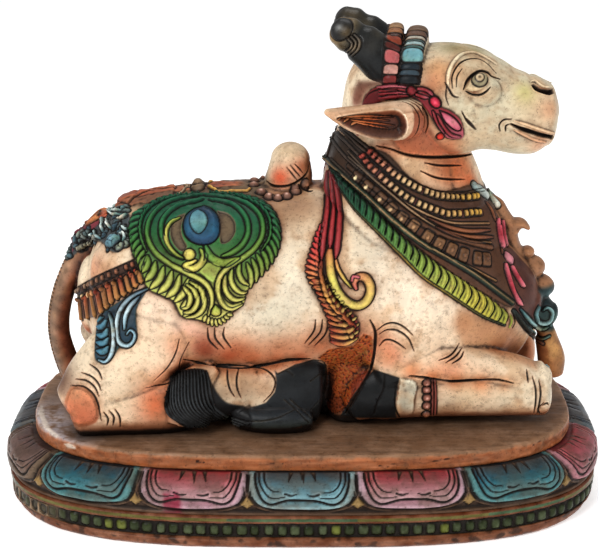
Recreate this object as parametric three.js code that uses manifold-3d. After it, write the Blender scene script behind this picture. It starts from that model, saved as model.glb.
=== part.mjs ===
// A carved and painted wooden figure of a seated bull, on a lotus plinth of its own.
// Millimetres, +Z up. The origin is at the middle of the plinth's underside, and the bull faces +X.
import * as THREE from "three";
import { mergeVertices } from "three/addons/utils/BufferGeometryUtils.js";
import Module from "manifold-3d";

const wasm = await Module();
wasm.setup();

// Driving sizes of the plinth.
const PLINTH_LENGTH = 400;
const PLINTH_WIDTH = 235;
const PLINTH_SQUARENESS = 3;
const FOOT_HEIGHT = 9;
const FOOT_END_INSET = 6;
const FOOT_SIDE_INSET = 1;
const BEAD_BAND_HEIGHT = 9;
const BEAD_BAND_INSET = 2.5;
const RIDGE_HEIGHT = 4;
const LOTUS_HEIGHT = 23;
const LOTUS_TOP_INSET = 17;
const PETAL_RELIEF = 3;
const PETAL_COUNT = 16;
const PETAL_CROWDING = 0.026;
const LOTUS_TOP_SQUARENESS = 2.7;
const RIDGE_INSET = 1.8;

// The profile of a petal, as [share of its height, inset from the plinth's outline, squareness].
const PETAL_PROFILE = [
  [-0.02, 4, PLINTH_SQUARENESS],
  [0.3, 1, PLINTH_SQUARENESS],
  [0.62, 2, PLINTH_SQUARENESS],
  [0.85, 7.5, LOTUS_TOP_SQUARENESS],
  [1, LOTUS_TOP_INSET, LOTUS_TOP_SQUARENESS],
];
const SEAT_THICKNESS = 11;
const SEAT_LENGTH = 358;
const SEAT_WIDTH = 197;
const SEAT_SQUARENESS = 3;
const SEAT_UNDERCUT = 4;
const SEAT_LAP = 2;
const SEAT_BEVEL = 1.5;
const OUTLINE_CORNERS = 32;
const OUTLINE_STEPS = 2880;
const FRONT_SHARE = 0.75;

// The corners of one petal, as shares of its width from its middle, and how far it is rounded off.
const PETAL_GROOVE = -0.5;
const PETAL_CORNERS = [PETAL_GROOVE, -0.44, -0.24, 0.24, 0.44];
const PETAL_ROUNDING = 5;

// Driving sizes of the bull. Its stations are shares of its length: one unit is a 345th part of it.
const BULL_LENGTH = 345;
const HEAD_TURN_DEG = -5;
const SEAT_GAP = 0.3;
const LOW_RELIEF = 1.6;
const MIDDLE_RELIEF = 3;
const HIGH_RELIEF = 4.5;
const MOUTH_DEPTH = 3;
const LEDGE_HEIGHT = 4;
const COLLAR_LEAVES = { count: 11, from: 0.05, to: 0.97, fill: 0.78, lean: 0.03 };
const LOBE_LEAVES = { count: 3, from: 0.02, to: 0.98, fill: 0.75, lean: 0.2 };

// The near side is the one at the viewer's hand when the bull faces right.
const NEAR_SIDE = [-100, 0];
const BOTH_SIDES = [-100, 100];

const UNITS_LONG = 345;
const unit = BULL_LENGTH / UNITS_LONG;
const seatTop = FOOT_HEIGHT + BEAD_BAND_HEIGHT + RIDGE_HEIGHT + LOTUS_HEIGHT + SEAT_THICKNESS;

// Makes one closed solid of a list of points and a list of corner triples.
function solidOf(points, corners) {
  const mesh = new wasm.Mesh({
    numProp: 3,
    vertProperties: new Float32Array(points.flat()),
    triVerts: new Uint32Array(corners.flat()),
  });
  mesh.merge();
  return new wasm.Manifold(mesh);
}

// Makes a closed solid of one of three.js's geometries, moved by a matrix.
function solidOfGeometry(geometry, matrix = new THREE.Matrix4()) {
  const bare = geometry.clone().applyMatrix4(matrix);
  bare.deleteAttribute("normal");
  bare.deleteAttribute("uv");
  const merged = mergeVertices(bare, 1e-4);
  return new wasm.Manifold(
    new wasm.Mesh({
      numProp: 3,
      vertProperties: new Float32Array(merged.attributes.position.array),
      triVerts: new Uint32Array(merged.index.array),
    }),
  );
}

// Turns a solid back into a geometry.
function geometryOf(solid) {
  const mesh = solid.getMesh();
  const geometry = new THREE.BufferGeometry();
  geometry.setAttribute("position", new THREE.BufferAttribute(mesh.vertProperties, 3));
  geometry.setIndex(new THREE.BufferAttribute(mesh.triVerts, 1));
  return geometry;
}

function joined(solids) {
  return solids.reduce((whole, next) => whole.add(next));
}

// A point of a rounded-square outline: squareness 2 is an ellipse, and more is squarer.
function squarePoint(angle, squareness) {
  const [c, s] = [Math.cos(angle), Math.sin(angle)];
  const power = 2 / squareness;
  return [Math.sign(c) * Math.abs(c) ** power, Math.sign(s) * Math.abs(s) ** power];
}

// Where a rounded end has its one ring: so far up the dome, from its foot.
const DOME_TURN = THREE.MathUtils.degToRad(48);

// Lofts a limb through stations [x, y, height, half width, half depth above, half depth below].
// The half width lies along Y as far as the limb's direction lets it. The two caps say how round
// the ends are: 0 is flat. A swell makes the whole limb that much thicker.
function limb(stations, { sides = 8, squareness = 2, caps = [0.5, 0.5], swell = 0 } = {}) {
  const place = (row) => new THREE.Vector3(row[0], row[1], row[2]);
  const rings = stations.map((row, i) => {
    const ahead = place(stations[Math.min(i + 1, stations.length - 1)]);
    const along = ahead.sub(place(stations[Math.max(i - 1, 0)])).normalize();
    return { centre: place(row), along, reach: row.slice(3).map((r) => r + swell) };
  });
  const [first, final] = [rings[0], rings[rings.length - 1]];
  const domed = (ring, cap) => {
    if (cap === 0) return [];
    const length = cap * Math.min(...ring.reach) * Math.sin(DOME_TURN);
    return [
      {
        centre: ring.centre.clone().addScaledVector(ring.along, length),
        along: ring.along,
        reach: ring.reach.map((r) => r * Math.cos(DOME_TURN)),
      },
    ];
  };
  const all = [...domed(first, -caps[0]), ...rings, ...domed(final, caps[1])];
  const points = [];
  for (const { centre, along, reach } of all) {
    const across = new THREE.Vector3(0, 1, 0).addScaledVector(along, -along.y).normalize();
    const up = along.clone().cross(across);
    for (let k = 0; k < sides; k += 1) {
      const [c, s] = squarePoint((2 * Math.PI * k) / sides, squareness);
      const point = centre.clone().addScaledVector(across, c * reach[0]);
      point.addScaledVector(up, s * (s > 0 ? reach[1] : reach[2]));
      points.push(point.toArray());
    }
  }
  const corners = [];
  for (let i = 0; i < all.length - 1; i += 1) {
    for (let k = 0; k < sides; k += 1) {
      const [a, b] = [i * sides + k, i * sides + ((k + 1) % sides)];
      corners.push([a, b, b + sides], [a, b + sides, a + sides]);
    }
  }
  const tip = (ring, cap) => {
    const length = cap * Math.min(...ring.reach);
    points.push(ring.centre.clone().addScaledVector(ring.along, length).toArray());
    return points.length - 1;
  };
  const [start, end] = [tip(first, -caps[0]), tip(final, caps[1])];
  const lastRing = (all.length - 1) * sides;
  for (let k = 0; k < sides; k += 1) {
    const next = (k + 1) % sides;
    corners.push([start, next, k], [end, lastRing + k, lastRing + next]);
  }
  return solidOf(points, corners);
}

const mirrored = (stations) => stations.map(([x, y, ...rest]) => [x, -y, ...rest]);
const bothSides = (stations, options) => limb(stations, options).add(limb(mirrored(stations), options));

// The trunk, from the rump to the brisket, and the haunches and shoulders that swell from it.
const TRUNK = [
  [-139, 0, 74, 34, 32, 26],
  [-131, 0, 74, 49, 50, 42],
  [-118, 0, 74, 57, 61, 54],
  [-98, 0, 76, 62, 66, 62],
  [-70, 0, 80, 63, 67, 66],
  [-38, 0, 84, 60, 66, 66],
  [-5, 0, 85, 58, 65, 66],
  [28, 0, 84, 59, 66, 66],
  [60, 0, 80, 59, 70, 64],
  [92, 0, 76, 54, 70, 58],
  [118, 0, 73, 46, 51, 54],
  [137, 0, 70, 36, 34, 48],
  [150, 0, 66, 25, 20, 38],
];
const NECK = [
  [62, 0, 84, 50, 56, 76],
  [60, 0, 118, 51, 53, 73],
  [58, 0, 146, 46, 46, 57],
  [60, 0, 168, 40, 42, 44],
  [62, 0, 190, 36, 38, 40],
  [64, 0, 214, 32, 36, 36],
  [66, 0, 230, 26, 30, 28],
];
const HAUNCH = [
  [-122, -30, 80, 20, 36, 40],
  [-104, -36, 84, 26, 44, 46],
  [-84, -40, 80, 25, 40, 36],
  [-68, -44, 72, 18, 24, 20],
];
const SHOULDER = [
  [86, -26, 118, 22, 32, 30],
  [76, -34, 92, 24, 36, 32],
  [64, -40, 64, 20, 32, 28],
  [54, -44, 42, 15, 22, 22],
];

// The folded legs, from the top joint down to the hoof.
const HIND_SHANK = [
  [-78, -46, 76, 15, 22, 22],
  [-94, -52, 62, 16, 25, 27],
  [-113, -55, 45, 16, 26, 26],
  [-130, -57, 31, 15, 21, 21],
  [-143, -58, 18, 15, 15, 15],
];
const HIND_CANNON = [
  [-142, -58, 16, 14.5, 15, 14.5],
  [-118, -58, 17, 13, 14, 14],
  [-94, -57, 18, 12, 16, 15],
  [-66, -53, 24, 12, 17, 15],
  [-44, -49, 28, 12.5, 14, 13],
  [-32, -47, 28, 12, 13, 13],
];
const HIND_HOOF = [
  [-34, -47, 24, 12, 14, 14],
  [-22, -46, 24, 14, 18, 17],
  [-6, -44, 25, 15, 21, 19],
  [8, -42, 25, 12, 19, 19],
];
const HIND_TOE = [
  [-42, -52, 12, 8, 5, 7],
  [-28, -56, 7, 9, 8, 7],
  [-8, -57, 7, 9, 8, 7],
  [4, -54, 7, 7, 5, 6],
];
const FORE_ARM = [
  [53, -44, 36, 15, 20, 22],
  [78, -44, 40, 14, 18, 16],
  [106, -43, 41, 12.5, 12, 12],
  [134, -42, 34, 12.5, 13, 12],
  [154, -40, 24, 13.5, 14, 14],
];
const FORE_CANNON = [
  [156, -40, 19, 14, 14.5, 14.5],
  [136, -41, 18, 13.5, 13.5, 14],
  [106, -42, 17.5, 13, 13, 13.5],
  [80, -43, 17.5, 13, 13, 13.5],
  [62, -43, 18.5, 14, 15, 15],
];
const FORE_HOOF = [
  [64, -43, 19, 14.5, 16, 16],
  [54, -43, 20, 16, 18, 18],
  [44, -43, 16, 15, 15, 15],
  [35, -43, 9, 12, 8, 9],
];

// The tail, from the rump to the seat, and the wood left uncut under the belly and the legs.
const TAIL = [
  [-126, 0, 124, 12, 10, 10],
  [-142, 0, 108, 10, 8, 8],
  [-154, 0, 88, 8.5, 7, 7],
  [-162, 3, 65, 7.5, 7, 7],
  [-164.5, 8, 43, 7.5, 7, 7],
  [-161, 12, 22, 8, 7.5, 7.5],
  [-156, 14, 7, 9, 8, 8],
];
const FORE_LEDGE = [
  [34, -42, 0, 15, LEDGE_HEIGHT, 3],
  [163, -40, 0, 16, LEDGE_HEIGHT, 3],
];
const HIND_LEDGE = [
  [-152, -55, 0, 14, LEDGE_HEIGHT, 3],
  [2, -46, 0, 14, LEDGE_HEIGHT, 3],
];
const TUFT = [
  [-58, -56, 42, 8, 5, 5],
  [-68, -61, 34, 10, 12, 12],
  [-73, -63, 20, 10, 15, 15],
  [-75, -63, 8, 9, 15, 14],
];
const BELLY_SUPPORT = [
  [-122, 0, 24, 40, 24, 28],
  [0, 0, 26, 36, 24, 30],
  [118, 0, 28, 30, 24, 32],
];
const BREAST_SUPPORT = [
  [33, 0, -2, 46, 20, 18],
  [33, 0, 34, 47, 19, 18],
  [31, 0, 64, 50, 22, 18],
];
const HUMP = [
  [-9, 0, 148, 15, 16, 14],
  [-8, 0, 156, 15.5, 15.5, 14.5],
  [-7.5, 0, 166, 13.5, 13, 12.5],
];

// The cloths along the spine, as [back end, front end, half width, relief].
const SPINE_CLOTHS = [
  [-136, -62, 8, MIDDLE_RELIEF],
  [-62, -24, 13, MIDDLE_RELIEF],
];
const SPINE_CLOTHS_REACH = [110, 190];

// The knotted cord on the chest.
const CHEST_CORD = [
  [119, 0, 141, 6, 4, 4],
  [127, 0, 133, 9, 7, 7],
  [131, 0, 126, 6, 4, 4],
  [138, 0, 119, 10, 8, 8],
  [138, 0, 112, 6, 4, 4],
  [142, 0, 106, 10, 7, 7],
  [144, 0, 100, 6, 4, 4],
  [149, 0, 94, 11, 8, 8],
  [152, 0, 88, 7, 4, 4],
  [155, 0, 82, 12, 8, 8],
  [156, 0, 74, 9, 7, 7],
];
const ROSETTE = [
  [144, 0, 66, 13, 13, 13],
  [163, 0, 64, 12, 11, 11],
];
const BELL = [
  [157, 0, 60, 6, 6, 6],
  [163, -2, 49, 7, 6, 6],
  [165, 0, 40, 8, 8, 8],
  [168, 0, 28, 9, 10, 9],
  [169, 0, 18, 8, 8, 8],
];

// The head, looking along +X before it is turned, with its horns and ears.
const HEAD = [
  [50, 0, 206, 23, 26, 24],
  [60, 0, 206, 30, 32, 32],
  [76, 0, 206, 33.5, 34.5, 36],
  [92, 0, 206, 34, 36, 37],
  [106, 0, 205, 31, 34.5, 34],
  [117, 0, 203, 27, 31, 30],
  [128, 0, 200, 24, 27.5, 26],
  [140, 0, 197.5, 22.5, 26, 25.5],
  [150, 0, 197.5, 21.5, 24, 24],
  [157, 0, 197.5, 18.5, 20, 19.5],
];
const HORN = [
  [61, -17, 224, 13, 16, 17],
  [51, -19, 234, 12, 14, 15.5],
  [40, -20, 243, 11, 12, 13],
  [30, -20, 250, 10, 10.5, 11],
  [24, -19, 254, 8.5, 9, 9],
];
const EAR = [
  [74, -31, 201, 8, 12, 12],
  [64, -38, 201, 8, 12, 12],
  [50, -45, 201, 8, 11, 11.5],
  [37, -49, 203, 7, 8, 9],
  [26, -51, 206, 5, 4.5, 5],
  [19, -52, 208, 3, 2, 2],
];
const FAR_EAR_STATIONS = 4;
const NECK_AXIS_X = 62;
const EAR_HOLLOW = [
  [61, -46, 200.5, 6, 8, 8],
  [48, -53, 200.5, 7, 7.5, 8.5],
  [36, -56, 202.5, 6, 5, 6],
  [27, -57, 206, 5, 2, 2.5],
];

// A straight bar along Y, from one side to the other, for each outline of [x, height] points.
function barsOf(outlines, [from, to] = BOTH_SIDES) {
  const bars = outlines.map((outline) => {
    const shape = new THREE.Shape(outline.map(([x, z]) => new THREE.Vector2(x, z)));
    const place = new THREE.Matrix4().makeRotationX(Math.PI / 2).setPosition(0, to, 0);
    const bar = new THREE.ExtrudeGeometry(shape, { depth: to - from, bevelEnabled: false });
    return solidOfGeometry(bar, place);
  });
  return joined(bars);
}

// The outline of a band between two lines, both given from the same end.
const bandOutline = (upper, lower) => [...upper, ...[...lower].reverse()];

// The point at a share of the length of a line.
function pointAlong(line, share) {
  const curve = new THREE.CatmullRomCurve3(line.map(([x, z]) => new THREE.Vector3(x, 0, z)));
  const { x, z } = curve.getPointAt(THREE.MathUtils.clamp(share, 0, 1));
  return [x, z];
}

// The outlines of leaves that lean over between two lines. Each fills a share of its step.
function leavesBetween(upper, lower, { count, from, to, lean, fill }) {
  const step = (to - from) / count;
  return Array.from({ length: count }, (_, i) => {
    const start = from + i * step;
    const high = (share) => pointAlong(upper, start + step * share);
    const low = (share) => pointAlong(lower, start + step * (share + lean));
    return [high(0), low(fill * 0.25), low(fill * 0.75), high(fill)];
  });
}

// Carving on the sides of the body: where each piece of it lies, as [x, height] points.
const NECKLACE_TOP = [[13, 207], [34, 191], [62, 168], [94, 153], [130, 149]];
const NECKLACE_BOTTOM = [[9, 194], [28, 183], [56, 158], [92, 140], [136, 134]];
const COLLAR_TOP = [[4, 183], [30, 159], [79, 119], [120, 93], [160, 68]];
const COLLAR_UPPER = [[4, 178], [28, 155], [77, 114], [118, 88], [160, 61]];
const COLLAR_LOWER = [[2, 173], [24, 151], [68, 106], [110, 78], [150, 53]];
const SASH = [
  [9, 172],
  [16, 164],
  [23, 149],
  [24, 134],
  [22, 121],
  [27, 108],
  [37, 106],
  [46, 96],
  [39, 86],
  [27, 93],
  [15, 102],
  [9, 114],
  [8, 131],
  [9, 148],
  [4, 160],
];
const SASH_LEAF = [
  [13, 111],
  [21, 97],
  [31, 78],
  [33, 60],
  [24, 55],
  [14, 65],
  [6, 85],
  [7, 104],
];
const MEDALLION = [
  [-57, 147],
  [-31, 146],
  [-12, 140],
  [-10, 128],
  [-19, 113],
  [-30, 97],
  [-49, 82],
  [-57, 73],
  [-66, 81],
  [-88, 92],
  [-101, 109],
  [-111, 127],
  [-107, 138],
  [-90, 144],
];
const MEDALLION_RING = [
  [-61, 146],
  [-36, 144],
  [-26, 134],
  [-33, 117],
  [-56, 104],
  [-79, 109],
  [-96, 122],
  [-95, 137],
];
const MEDALLION_WELL = [
  [-61, 142],
  [-42, 140],
  [-34, 132],
  [-41, 121],
  [-60, 114],
  [-82, 122],
  [-87, 133],
  [-77, 140],
];
const MEDALLION_BUD = [[-61, 141], [-52, 137], [-50, 128], [-61, 121], [-72, 128], [-71, 137]];
const LOBE_LEFT = [
  [[-98, 119], [-84, 109], [-62, 93]],
  [[-97, 107], [-88, 97], [-64, 82]],
];
const LOBE_RIGHT = [
  [[-20, 122], [-30, 114], [-51, 95]],
  [[-21, 112], [-30, 99], [-49, 83]],
];
const GARLAND = [[-150, 82], [-130, 94], [-100, 111], [-97, 100], [-128, 76], [-149, 66]];
const HAUNCH_FEATHERS = [[-96, 99], [-115, 89], [-132, 66], [-130, 50], [-115, 60], [-104, 78]];

// Carving on the head, before it is turned.
const HEAD_BAND_FRONT = [[62, 220], [76, 220], [80, 234], [80, 260], [62, 260]];
const HEAD_BAND_BACK = [[50, 222], [59, 222], [59, 260], [50, 260]];
const HALTER = [
  [42, 213],
  [56, 221],
  [72, 219],
  [100, 195],
  [99, 188],
  [88, 191],
  [70, 210],
  [50, 210],
];
const EYE = [110, -28, 219];
const EYE_RADII = [11, 4.5, 6];
const MOUTH = [[127, 197], [146, 190], [170, 183], [170, 180], [146, 187.5], [128, 194.5]];

// The trunk with the neck, haunches and shoulders, swelled by so much.
function skin(swell) {
  return joined([
    limb(TRUNK, { sides: 14, squareness: 2.15, caps: [0.4, 0.4], swell }),
    limb(NECK, { sides: 10, squareness: 2.1, caps: [0, 0], swell }),
    bothSides(HAUNCH, { swell }),
    bothSides(SHOULDER, { swell }),
  ]);
}

function legs() {
  return joined([
    bothSides(HIND_SHANK, { caps: [0, 0.5] }),
    bothSides(HIND_CANNON, { sides: 6, caps: [0.5, 0] }),
    bothSides(HIND_HOOF, { caps: [0, 0.4] }),
    bothSides(HIND_TOE, { sides: 6, caps: [0, 0.5] }),
    bothSides(FORE_ARM, { caps: [0.5, 0.5] }),
    bothSides(FORE_CANNON, { sides: 6, caps: [0.5, 0] }),
    bothSides(FORE_HOOF, { caps: [0, 0.5] }),
  ]);
}

// The cloths, garlands and necklaces. Each is cut out of a swelled skin, so that it stands off the
// body by its relief. The finer ones are on the near side only.
function carving() {
  const [low, middle, high] = [skin(LOW_RELIEF), skin(MIDDLE_RELIEF), skin(HIGH_RELIEF)];
  const lobes = [LOBE_LEFT, LOBE_RIGHT].flatMap(([upper, lower]) =>
    leavesBetween(upper, lower, LOBE_LEAVES),
  );
  const ring = barsOf([MEDALLION_RING], NEAR_SIDE).subtract(barsOf([MEDALLION_WELL], NEAR_SIDE));
  const leaves = leavesBetween(COLLAR_UPPER, COLLAR_LOWER, COLLAR_LEAVES);
  return joined([
    barsOf([MEDALLION, SASH]).intersect(low),
    barsOf([GARLAND, HAUNCH_FEATHERS, SASH_LEAF], NEAR_SIDE).intersect(low),
    ring.intersect(middle),
    barsOf([MEDALLION_BUD], NEAR_SIDE).intersect(high),
    barsOf(lobes, NEAR_SIDE).intersect(middle),
    barsOf(leaves, NEAR_SIDE).intersect(middle),
    barsOf([bandOutline(NECKLACE_TOP, NECKLACE_BOTTOM)]).intersect(middle),
    barsOf([bandOutline(COLLAR_TOP, COLLAR_UPPER)]).intersect(high),
  ]);
}

// A ball, or an egg when the three radii differ.
function egg([x, y, z], [rx, ry, rz]) {
  const place = new THREE.Matrix4().makeTranslation(x, y, z).scale(new THREE.Vector3(rx, ry, rz));
  return solidOfGeometry(new THREE.IcosahedronGeometry(1, 0), place);
}

// The knotted cord on the chest, with its rosette and the bell under it.
function chestPendant() {
  const cord = limb(CHEST_CORD, { sides: 5, caps: [0, 0] });
  return joined([cord, limb(ROSETTE), limb(BELL, { caps: [0.5, 0.3] })]);
}

// The cloths along the spine.
function backCloths() {
  const [low, high] = SPINE_CLOTHS_REACH;
  const strips = SPINE_CLOTHS.map(([back, front, halfWidth, relief]) => {
    const box = new THREE.BoxGeometry(front - back, 2 * halfWidth, high - low);
    box.translate((back + front) / 2, 0, (low + high) / 2);
    return solidOfGeometry(box).intersect(skin(relief));
  });
  return joined(strips);
}

// The head with its carving, horns and ears, before it is turned.
function carvedHead() {
  const skull = { sides: 12, squareness: 2.4, caps: [0.35, 0.35] };
  const raised = (outlines, swell) => barsOf(outlines).intersect(limb(HEAD, { ...skull, swell }));
  const mouth = barsOf([MOUTH]).subtract(limb(HEAD, { ...skull, swell: -MOUTH_DEPTH }));
  const whole = joined([
    limb(HEAD, skull),
    raised([HEAD_BAND_FRONT, HALTER], MIDDLE_RELIEF),
    raised([HEAD_BAND_BACK], LOW_RELIEF),
    egg([EYE[0], EYE[1], EYE[2]], EYE_RADII),
    egg([EYE[0], -EYE[1], EYE[2]], EYE_RADII),
    bothSides(HORN, { caps: [0, 0.7] }),
    limb(EAR, { caps: [0, 0.6] }),
    limb(mirrored(EAR.slice(0, FAR_EAR_STATIONS)), { caps: [0, 0.6] }),
  ]);
  return whole.subtract(mouth).subtract(limb(EAR_HOLLOW, { sides: 6 }));
}

function headSolid() {
  const pivot = new THREE.Matrix4().makeTranslation(NECK_AXIS_X, 0, 0);
  const turn = new THREE.Matrix4().makeRotationZ(THREE.MathUtils.degToRad(HEAD_TURN_DEG));
  const pose = pivot.clone().multiply(turn).multiply(pivot.clone().invert());
  return solidOfGeometry(geometryOf(carvedHead()), pose);
}

function bullSolid() {
  const body = joined([
    skin(0),
    legs(),
    carving(),
    chestPendant(),
    backCloths(),
    limb(TAIL, { sides: 7, caps: [0, 0] }),
    limb(TUFT, { sides: 7, caps: [0.5, 0] }),
    limb(BELLY_SUPPORT, { squareness: 5, caps: [0, 0] }),
    limb(BREAST_SUPPORT, { squareness: 3, caps: [0, 0] }),
    bothSides(FORE_LEDGE, { squareness: 6, caps: [0, 0] }),
    bothSides(HIND_LEDGE, { squareness: 6, caps: [0, 0] }),
    limb(HUMP, { caps: [0, 0.9] }),
    headSolid(),
  ]);
  // What reaches below the seat is cut off flat.
  const [length, width, depth] = [2 * UNITS_LONG, UNITS_LONG, UNITS_LONG];
  const below = new THREE.BoxGeometry(length, width, depth).translate(0, 0, -depth / 2);
  return body.subtract(solidOfGeometry(below));
}

function painted(name, geometry, colour) {
  const material = new THREE.MeshStandardMaterial({ color: colour, roughness: 0.55, metalness: 0 });
  const mesh = new THREE.Mesh(geometry, material);
  mesh.name = name;
  return mesh;
}

// One level of the plinth.
const level = (halfLength, halfWidth, height, squareness) => ({
  halfLength,
  halfWidth,
  height,
  squareness,
});

// Even turns round an outline, each between 0 and 1.
const evenTurns = (count) => Array.from({ length: count }, (_, k) => k / count);

// A solid made of levels, from the bottom to the top, with a corner at each of the turns.
// The outline is even, unless reach(corner, level) pushes it out or in.
function levelledSolid(levels, turns, reach = () => 0) {
  const sides = turns.length;
  const points = [];
  levels.forEach(({ halfLength, halfWidth, height, squareness }, i) => {
    turns.forEach((turn, k) => {
      const [c, s] = squarePoint(2 * Math.PI * turn, squareness);
      const out = reach(k, i);
      points.push([(halfLength + out) * c, (halfWidth + out) * s, height]);
    });
  });
  const corners = [];
  for (let i = 0; i < levels.length - 1; i += 1) {
    for (let k = 0; k < sides; k += 1) {
      const [p, q] = [i * sides + k, i * sides + ((k + 1) % sides)];
      corners.push([p, q, q + sides], [p, q + sides, p + sides]);
    }
  }
  const top = (levels.length - 1) * sides;
  for (let k = 1; k < sides - 1; k += 1) corners.push([0, k + 1, k], [top, top + k, top + k + 1]);
  return solidOf(points, corners);
}

// Turns that lie at given shares of the way round the plinth, from the middle of its front.
// The outline is walked in small steps, which gives the length of the way up to each turn.
function turnsAtShares(shares) {
  const steps = OUTLINE_STEPS;
  const at = (k) => {
    const [c, s] = squarePoint((2 * Math.PI * k) / steps, PLINTH_SQUARENESS);
    return [(PLINTH_LENGTH / 2) * c, (PLINTH_WIDTH / 2) * s];
  };
  const lengths = [0];
  for (let k = 1; k <= steps; k += 1) {
    const [a, b] = [at(k - 1), at(k)];
    lengths.push(lengths[k - 1] + Math.hypot(b[0] - a[0], b[1] - a[1]));
  }
  const whole = lengths[steps];
  const frontMiddle = FRONT_SHARE * whole;
  return shares.map((share) => {
    const wanted = (frontMiddle + share * whole) % whole;
    const k = Math.max(1, lengths.findIndex((length) => length >= wanted));
    return (k - 1 + (wanted - lengths[k - 1]) / (lengths[k] - lengths[k - 1])) / steps;
  });
}

// Moves a share of the way round, so that the petals are narrower at the back than at the front,
// and alike on the two sides of the middle.
function crowded(share) {
  const whole = (share + 1) % 1;
  const push = (PETAL_CROWDING / 2) * Math.sin(2 * Math.PI * whole) ** 2;
  return whole < 0.5 ? whole + push : whole - push;
}

// The ring of petals: each petal is flat in the middle and rounded off at its upper corners, with
// a groove between it and the next.
function petalRing(lotusBase) {
  const [a, b] = [PLINTH_LENGTH / 2, PLINTH_WIDTH / 2];
  const petals = Array.from({ length: PETAL_COUNT }, (_, k) => k);
  const corners = petals.flatMap((petal) => PETAL_CORNERS.map((place) => ({ petal, place })));
  const shares = corners.map(({ petal, place }) => crowded((petal + place) / PETAL_COUNT));
  const levels = PETAL_PROFILE.map(([rise, inset, squareness]) =>
    level(a - inset, b - inset, lotusBase + rise * LOTUS_HEIGHT, squareness),
  );
  const reach = (corner, i) => {
    const { place } = corners[corner];
    if (place === PETAL_GROOVE) return -PETAL_RELIEF;
    return -PETAL_ROUNDING * Math.max(0, i - 2) * place ** 2;
  };
  return levelledSolid(levels, turnsAtShares(shares), reach);
}

function plinthSolid() {
  const [a, b] = [PLINTH_LENGTH / 2, PLINTH_WIDTH / 2];
  const plan = (endInset, sideInset, height) =>
    level(a - endInset, b - sideInset, height, PLINTH_SQUARENESS);
  const bandTop = FOOT_HEIGHT + BEAD_BAND_HEIGHT;
  const lotusBase = bandTop + RIDGE_HEIGHT;
  const seatBase = lotusBase + LOTUS_HEIGHT;
  const foot = levelledSolid(
    [
      plan(FOOT_END_INSET, FOOT_SIDE_INSET, 0),
      plan(FOOT_END_INSET - 1, FOOT_SIDE_INSET, FOOT_HEIGHT),
      plan(BEAD_BAND_INSET, BEAD_BAND_INSET, FOOT_HEIGHT),
      plan(BEAD_BAND_INSET, BEAD_BAND_INSET, bandTop),
      plan(RIDGE_INSET, RIDGE_INSET, bandTop),
      plan(RIDGE_INSET, RIDGE_INSET, lotusBase),
    ],
    evenTurns(OUTLINE_CORNERS),
  );
  const seatLevel = (inset, height) =>
    level(SEAT_LENGTH / 2 - inset, SEAT_WIDTH / 2 - inset, height, SEAT_SQUARENESS);
  const seat = levelledSolid(
    [
      seatLevel(SEAT_UNDERCUT, seatBase - SEAT_LAP),
      seatLevel(0, seatTop - SEAT_BEVEL),
      seatLevel(SEAT_BEVEL, seatTop),
    ],
    evenTurns(OUTLINE_CORNERS),
  );
  return joined([foot, petalRing(lotusBase), seat]);
}

const group = new THREE.Group();
const bull = painted("bull", geometryOf(bullSolid()), 0xd8b894);
bull.scale.setScalar(unit);
bull.position.z = seatTop + SEAT_GAP;
group.add(bull);
group.add(painted("lotus_plinth", geometryOf(plinthSolid()), 0x8a4a2c));

export default group;
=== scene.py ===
import math
from itertools import cycle

import bpy
import numpy as np
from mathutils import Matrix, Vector
from mathutils.bvhtree import BVHTree
from mathutils.geometry import tessellate_polygon
from mathutils.kdtree import KDTree


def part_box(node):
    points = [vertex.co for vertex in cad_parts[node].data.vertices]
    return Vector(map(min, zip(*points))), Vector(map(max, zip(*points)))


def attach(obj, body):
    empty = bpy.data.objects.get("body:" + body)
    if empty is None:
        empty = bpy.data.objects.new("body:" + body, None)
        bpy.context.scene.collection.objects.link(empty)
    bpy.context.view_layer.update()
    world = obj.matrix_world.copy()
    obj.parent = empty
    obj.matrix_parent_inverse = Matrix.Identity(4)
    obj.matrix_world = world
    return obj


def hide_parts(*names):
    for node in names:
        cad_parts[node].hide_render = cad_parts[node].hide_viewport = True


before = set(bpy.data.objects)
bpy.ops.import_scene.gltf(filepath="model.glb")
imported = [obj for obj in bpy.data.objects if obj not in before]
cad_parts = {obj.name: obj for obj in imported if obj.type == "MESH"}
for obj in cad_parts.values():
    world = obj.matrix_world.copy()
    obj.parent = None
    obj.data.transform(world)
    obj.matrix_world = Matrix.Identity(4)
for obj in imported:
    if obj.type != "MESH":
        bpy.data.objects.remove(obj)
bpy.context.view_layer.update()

METRES = 0.001
bull_low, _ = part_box("bull")
plinth_low, plinth_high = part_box("lotus_plinth")
SEAT_TOP = bull_low.z / METRES
PLINTH_LENGTH = (plinth_high.x - plinth_low.x) / METRES
PLINTH_WIDTH = (plinth_high.y - plinth_low.y) / METRES
HEAD_TURN_DEG = -5
NECK_AXIS_X = 62
HEAD_AXIS_HEIGHT = 206

# The camera, fitted to the photograph.
IMAGE_WIDTH = 599
IMAGE_HEIGHT = 553
CAMERA_ELEVATION_DEG = 19
CAMERA_DISTANCE = 1100
CAMERA_AIM = np.array([0.0, 0.0, 130.0])
AIM_PX = (302.4, 293.5)
FOCAL_PX = 1647.7
SENSOR_WIDTH = 36
elevation = math.radians(CAMERA_ELEVATION_DEG)
VIEW_DIRECTION = np.array([0.0, math.cos(elevation), -math.sin(elevation)])
VIEW_UP = np.array([0.0, math.sin(elevation), math.cos(elevation)])
CAMERA_PLACE = CAMERA_AIM - CAMERA_DISTANCE * VIEW_DIRECTION

# Grain of the meshes, and how soft the edges of strokes are on them.
BODY_VOXEL = 1.1
HEAD_VOXEL = 0.9
BODY_GRAIN = 0.8
HEAD_GRAIN = 0.6
SMOOTHING_ROUNDS = 4
CAST_STEP_PX = 2.2
STROKE_MARGIN = 0.7

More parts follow.
